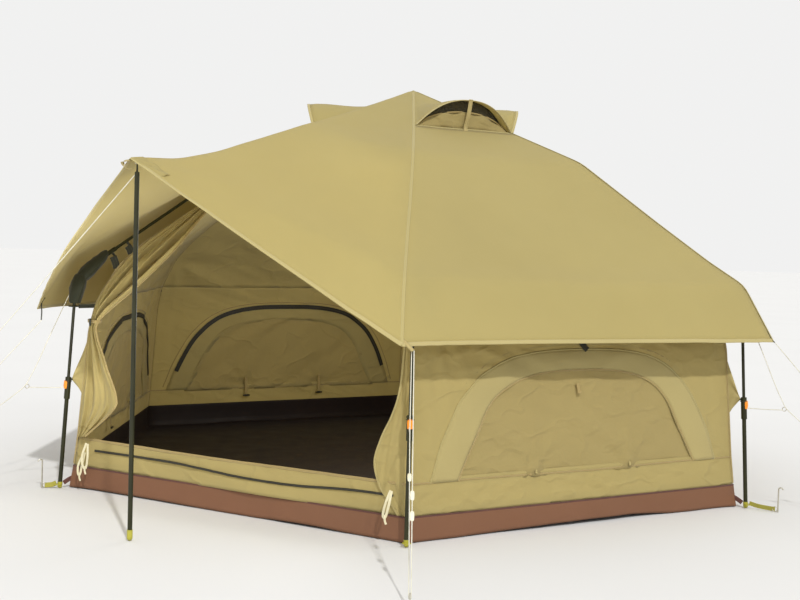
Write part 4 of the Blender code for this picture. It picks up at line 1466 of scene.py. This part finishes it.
rows = []
for share in (i / 8 for i in range(9)):
    height = SKIRT_FOOT + (SKIRT_TOP - SKIRT_FOOT) * share
    row = []
    for bearing, t, point in six_sides(1.866 - 0.003 * share, height, 48):
        outward = level_way(bearing + 30)
        hang = math.sin(math.pi * t) ** 0.6 if 0 < t < 1 else 0.0
        lift = max(0.0, 0.25 + noise.noise(point * 1.7 + Vector((0, 7, 0))))
        point.z += 0.026 * hang * (1 - share) ** 2 * lift
        wave = 0.014 * noise.noise(point * 3.1 + Vector((5, 0, 0))) + 0.005 * noise.noise(point * 9.0)
        pull = 0.016 * math.exp(-min(t, 1 - t) / 0.02) * (1 - share)
        corner_way = level_way(bearing if t < 0.5 else bearing + 60)
        out = wave * hang * (1 - 0.55 * share) + 0.0015 + 0.001 * share
        row.append(point + outward * out + corner_way * pull)
    rows.append(row)
skirt = sheet_piece("bathtub_skirt", rows, skirt_cloth, 0.0014)
rim = rows[-1][:-1]
outs = [Vector((p.x, p.y, 0)).normalized() for p in rim]
line = [p + n * 0.0010 - UP * 0.0030 for p, n in zip(rim, outs)]
skirt_seam = tape("skirt_seam", line, outs, 0.007, 0.0034, strap_red, closed=True)
tub_radii = list(enumerate(radius for radius, _ in TUB))
tub_heights = list(enumerate(height for _, height in TUB))
rows = []
for at in (10 * k / 50 for k in range(51)):
    radius, z = between(tub_radii, at), between(tub_heights, at)
    row = []
    for _, _, point in six_sides(radius, z, 24):
        ripple = 0.5 + noise.noise(Vector((point.x * 2.6 + 3, point.y * 2.6, 0.7)))
        ripple += 0.4 * noise.noise(Vector((point.x * 7, point.y * 7, 2.0)))
        lift = 0.0055 * max(0.0, ripple) * (1 - smoothstep(0.02, 0.08, z)) * smoothstep(0, 0.2, radius)
        row.append(point + Vector((0, 0, lift)))
    rows.append(row)
tub = sheet_piece("tub_floor", rows, floor_cloth, 0.0014, 1.0)
place_all((skirt, skirt_seam, tub), "floor_cloth")
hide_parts("bathtub_floor")

# Pale ties at the door's lower corners, and a tie lying on the floor.
TIES = {
    "left_upper": [
        (-0.817, -1.652, 0.233),
        (-0.825, -1.672, 0.168),
        (-0.813, -1.676, 0.123),
        (-0.797, -1.674, 0.118),
        (-0.791, -1.670, 0.168),
        (-0.807, -1.653, 0.230),
    ],
    "left_lower": [
        (-0.830, -1.650, 0.188),
        (-0.850, -1.668, 0.128),
        (-0.845, -1.675, 0.086),
        (-0.831, -1.676, 0.084),
        (-0.825, -1.670, 0.128),
        (-0.825, -1.652, 0.186),
    ],
    "right": [
        (0.872, -1.652, 0.220),
        (0.862, -1.676, 0.165),
        (0.856, -1.682, 0.120),
        (0.868, -1.684, 0.112),
        (0.880, -1.680, 0.160),
        (0.878, -1.654, 0.218),
    ],
}
TIE_FACES = Vector((0.3, -1, 0.1)).normalized()
TAIL = [Vector((0.004, -0.002, 0.006)), Vector((0.006, -0.004, -0.016)), Vector((0.013, -0.004, -0.032))]
FLOOR_TIE = [
    (1.380, 0.220, 0.0170),
    (1.330, 0.262, 0.0150),
    (1.268, 0.268, 0.0150),
    (1.250, 0.222, 0.0155),
    (1.298, 0.188, 0.0175),
    (1.362, 0.236, 0.0225),
    (1.402, 0.300, 0.0155),
]
for name, spots in TIES.items():
    spots = [Vector(spot) for spot in spots]
    place(strip(f"corner_tie_{name}", spots, 26, TIE_FACES, 0.011, 0.0022, strap_pale), "cord")
    knot = spots[2].lerp(spots[3], 0.5)
    tails = [knot + step for step in TAIL]
    place(strip(f"corner_tie_tail_{name}", tails, 8, TIE_FACES, 0.009, 0.0020, strap_pale), "cord")
loose_tie = [Vector(spot) for spot in FLOOR_TIE]
place(strip("floor_tie", loose_tie, 40, UP, 0.010, 0.0022, strap_pale), "cord")

# Straps that run from two feet to the pegs beside them: the ring's radius and distance aside.
for corner, (radius, beside) in (("front_left", (2.009, -0.030)), ("right", (2.085, 0.0))):
    bearing = CORNERS[corner]
    eye = around(radius - 0.014, 0.013, bearing) + around(beside, 0, bearing + 90)
    start = around(1.948, 0.026, bearing)
    near, far = start.lerp(eye, 0.35) - UP * 0.004, start.lerp(eye, 0.75) - UP * 0.002
    aside = level_way(bearing + 90)
    tilt = UP.lerp(aside, 0.75).normalized()
    spots = [start, near, far, eye]
    place(strip(f"foot_strap_{corner}", spots, 16, tilt, 0.024, 0.0030, strap_green), "cord")
    place(ring(f"foot_strap_ring_{corner}", eye, aside, 0.0115, 0.0021, peg_steel), "peg_steel")


# ---------------------------------------------------------------- guy lines

CORD_RADIUS = 0.002
FLY_TIP = Vector(LINE_START)
BRIDLE_TOP = Vector((1.884, 0.975))
BRIDLE_JOIN = Vector((2.100, 0.500))
STAY_HEIGHT = 0.490
PEG_RING = Vector((2.780 - 0.0035 - 0.0003 - 0.001, 0.035))
PORCH_PEG = Vector((-1.226, -2.703, 0.0))
LINE_ASIDE = 0.004
# A line lock's sections, as (distance along, half width, half depth).
LOCK = [
    (-0.020, 0.0045, 0.0030),
    (-0.017, 0.0075, 0.0046),
    (-0.006, 0.0086, 0.0050),
    (0.006, 0.0080, 0.0050),
    (0.017, 0.0070, 0.0046),
    (0.020, 0.0040, 0.0030),
]


def cord_piece(name, points):
    """A taut line: a cord along the points, in place of the model's own line, which is hidden."""
    fine = soften(even(route(points, 96), 96), 1)
    line = place(tube(f"{name}_cord", fine, cord_pale, CORD_RADIUS, sides=8), "cord")
    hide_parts(name)


def line_lock(name, points, share):
    """A small flat slider threaded on a line."""
    fine = even(points, 101)
    at = int(100 * share)
    spot, way = fine[at], (fine[at + 1] - fine[at]).normalized()
    aside = way.cross(UP).normalized()
    up = aside.cross(way).normalized()
    rings = []
    for along, wide, deep in LOCK:
        centre = spot + way * along + up * 0.0022
        rings.append([centre + aside * wide * math.cos(t) + up * deep * math.sin(t) for t in full_turn(16)])
    return place(loft(name, rings, lock_plastic), "cord")


def corner_run(knots, bearing, side, sag=0.0):
    """Points of a line in a corner's plane, moved a little aside, with its sag."""
    points = route([around(*knot, bearing) + around(side, 0, bearing + 90) for knot in knots], 20)
    for step, point in enumerate(points):
        share = step / 19
        point.z -= 4 * sag * share * (1 - share)
    return points


for corner in ("front_left", "front_right", "right"):
    bearing = CORNERS[corner]
    near = corner == "front_right"
    tip = corner_run([FLY_TIP, PEG_RING], bearing, LINE_ASIDE, 0.006)
    before, after = BRIDLE_JOIN.lerp(BRIDLE_TOP, 0.12), BRIDLE_JOIN.lerp(PEG_RING, 0.07)
    knots = [BRIDLE_TOP, BRIDLE_TOP.lerp(before, 0.5), before, after, after.lerp(PEG_RING, 0.5), PEG_RING]
    bridle = corner_run(knots, bearing, -LINE_ASIDE)
    stay_start = Vector((leg_radius(STAY_HEIGHT) + 0.0155, STAY_HEIGHT))
    stay = corner_run([stay_start, BRIDLE_JOIN - Vector((0.012, 0.003))], bearing, -LINE_ASIDE, 0.001)
    locks = [line_lock(f"line_lock_{corner}", tip, 0.62 if near else 0.50)]
    if near:
        locks.append(line_lock(f"line_lock_second_{corner}", tip, 0.70))
    cord_piece(f"tip_line_{corner}", tip)
    aside = level_way(bearing + 90)
    join = around(*BRIDLE_JOIN, bearing) - aside * LINE_ASIDE - around(0.006, -0.0015, bearing)
    join_ring = place(ring(f"bridle_ring_{corner}", join, aside, 0.0095, 0.0018, peg_steel), "peg_steel")
    bridle_lock = line_lock(f"bridle_lock_{corner}", bridle[10:], 0.30)
    cord_piece(f"bridle_{corner}", bridle)
    cord_piece(f"leg_stay_{corner}", stay)

start = Vector((-0.0123, -2.257, 1.485))
away = (PORCH_PEG - Vector((0, -2.257, 0))).normalized()
end = PORCH_PEG - away * 0.0055 + UP * 0.035
shares = [step / 19 for step in range(20)]
porch = [start.lerp(end, share) - UP * 0.040 * share * (1 - share) for share in shares]
porch_lock = line_lock("porch_line_lock", porch, 0.60)
cord_piece("porch_line", porch)
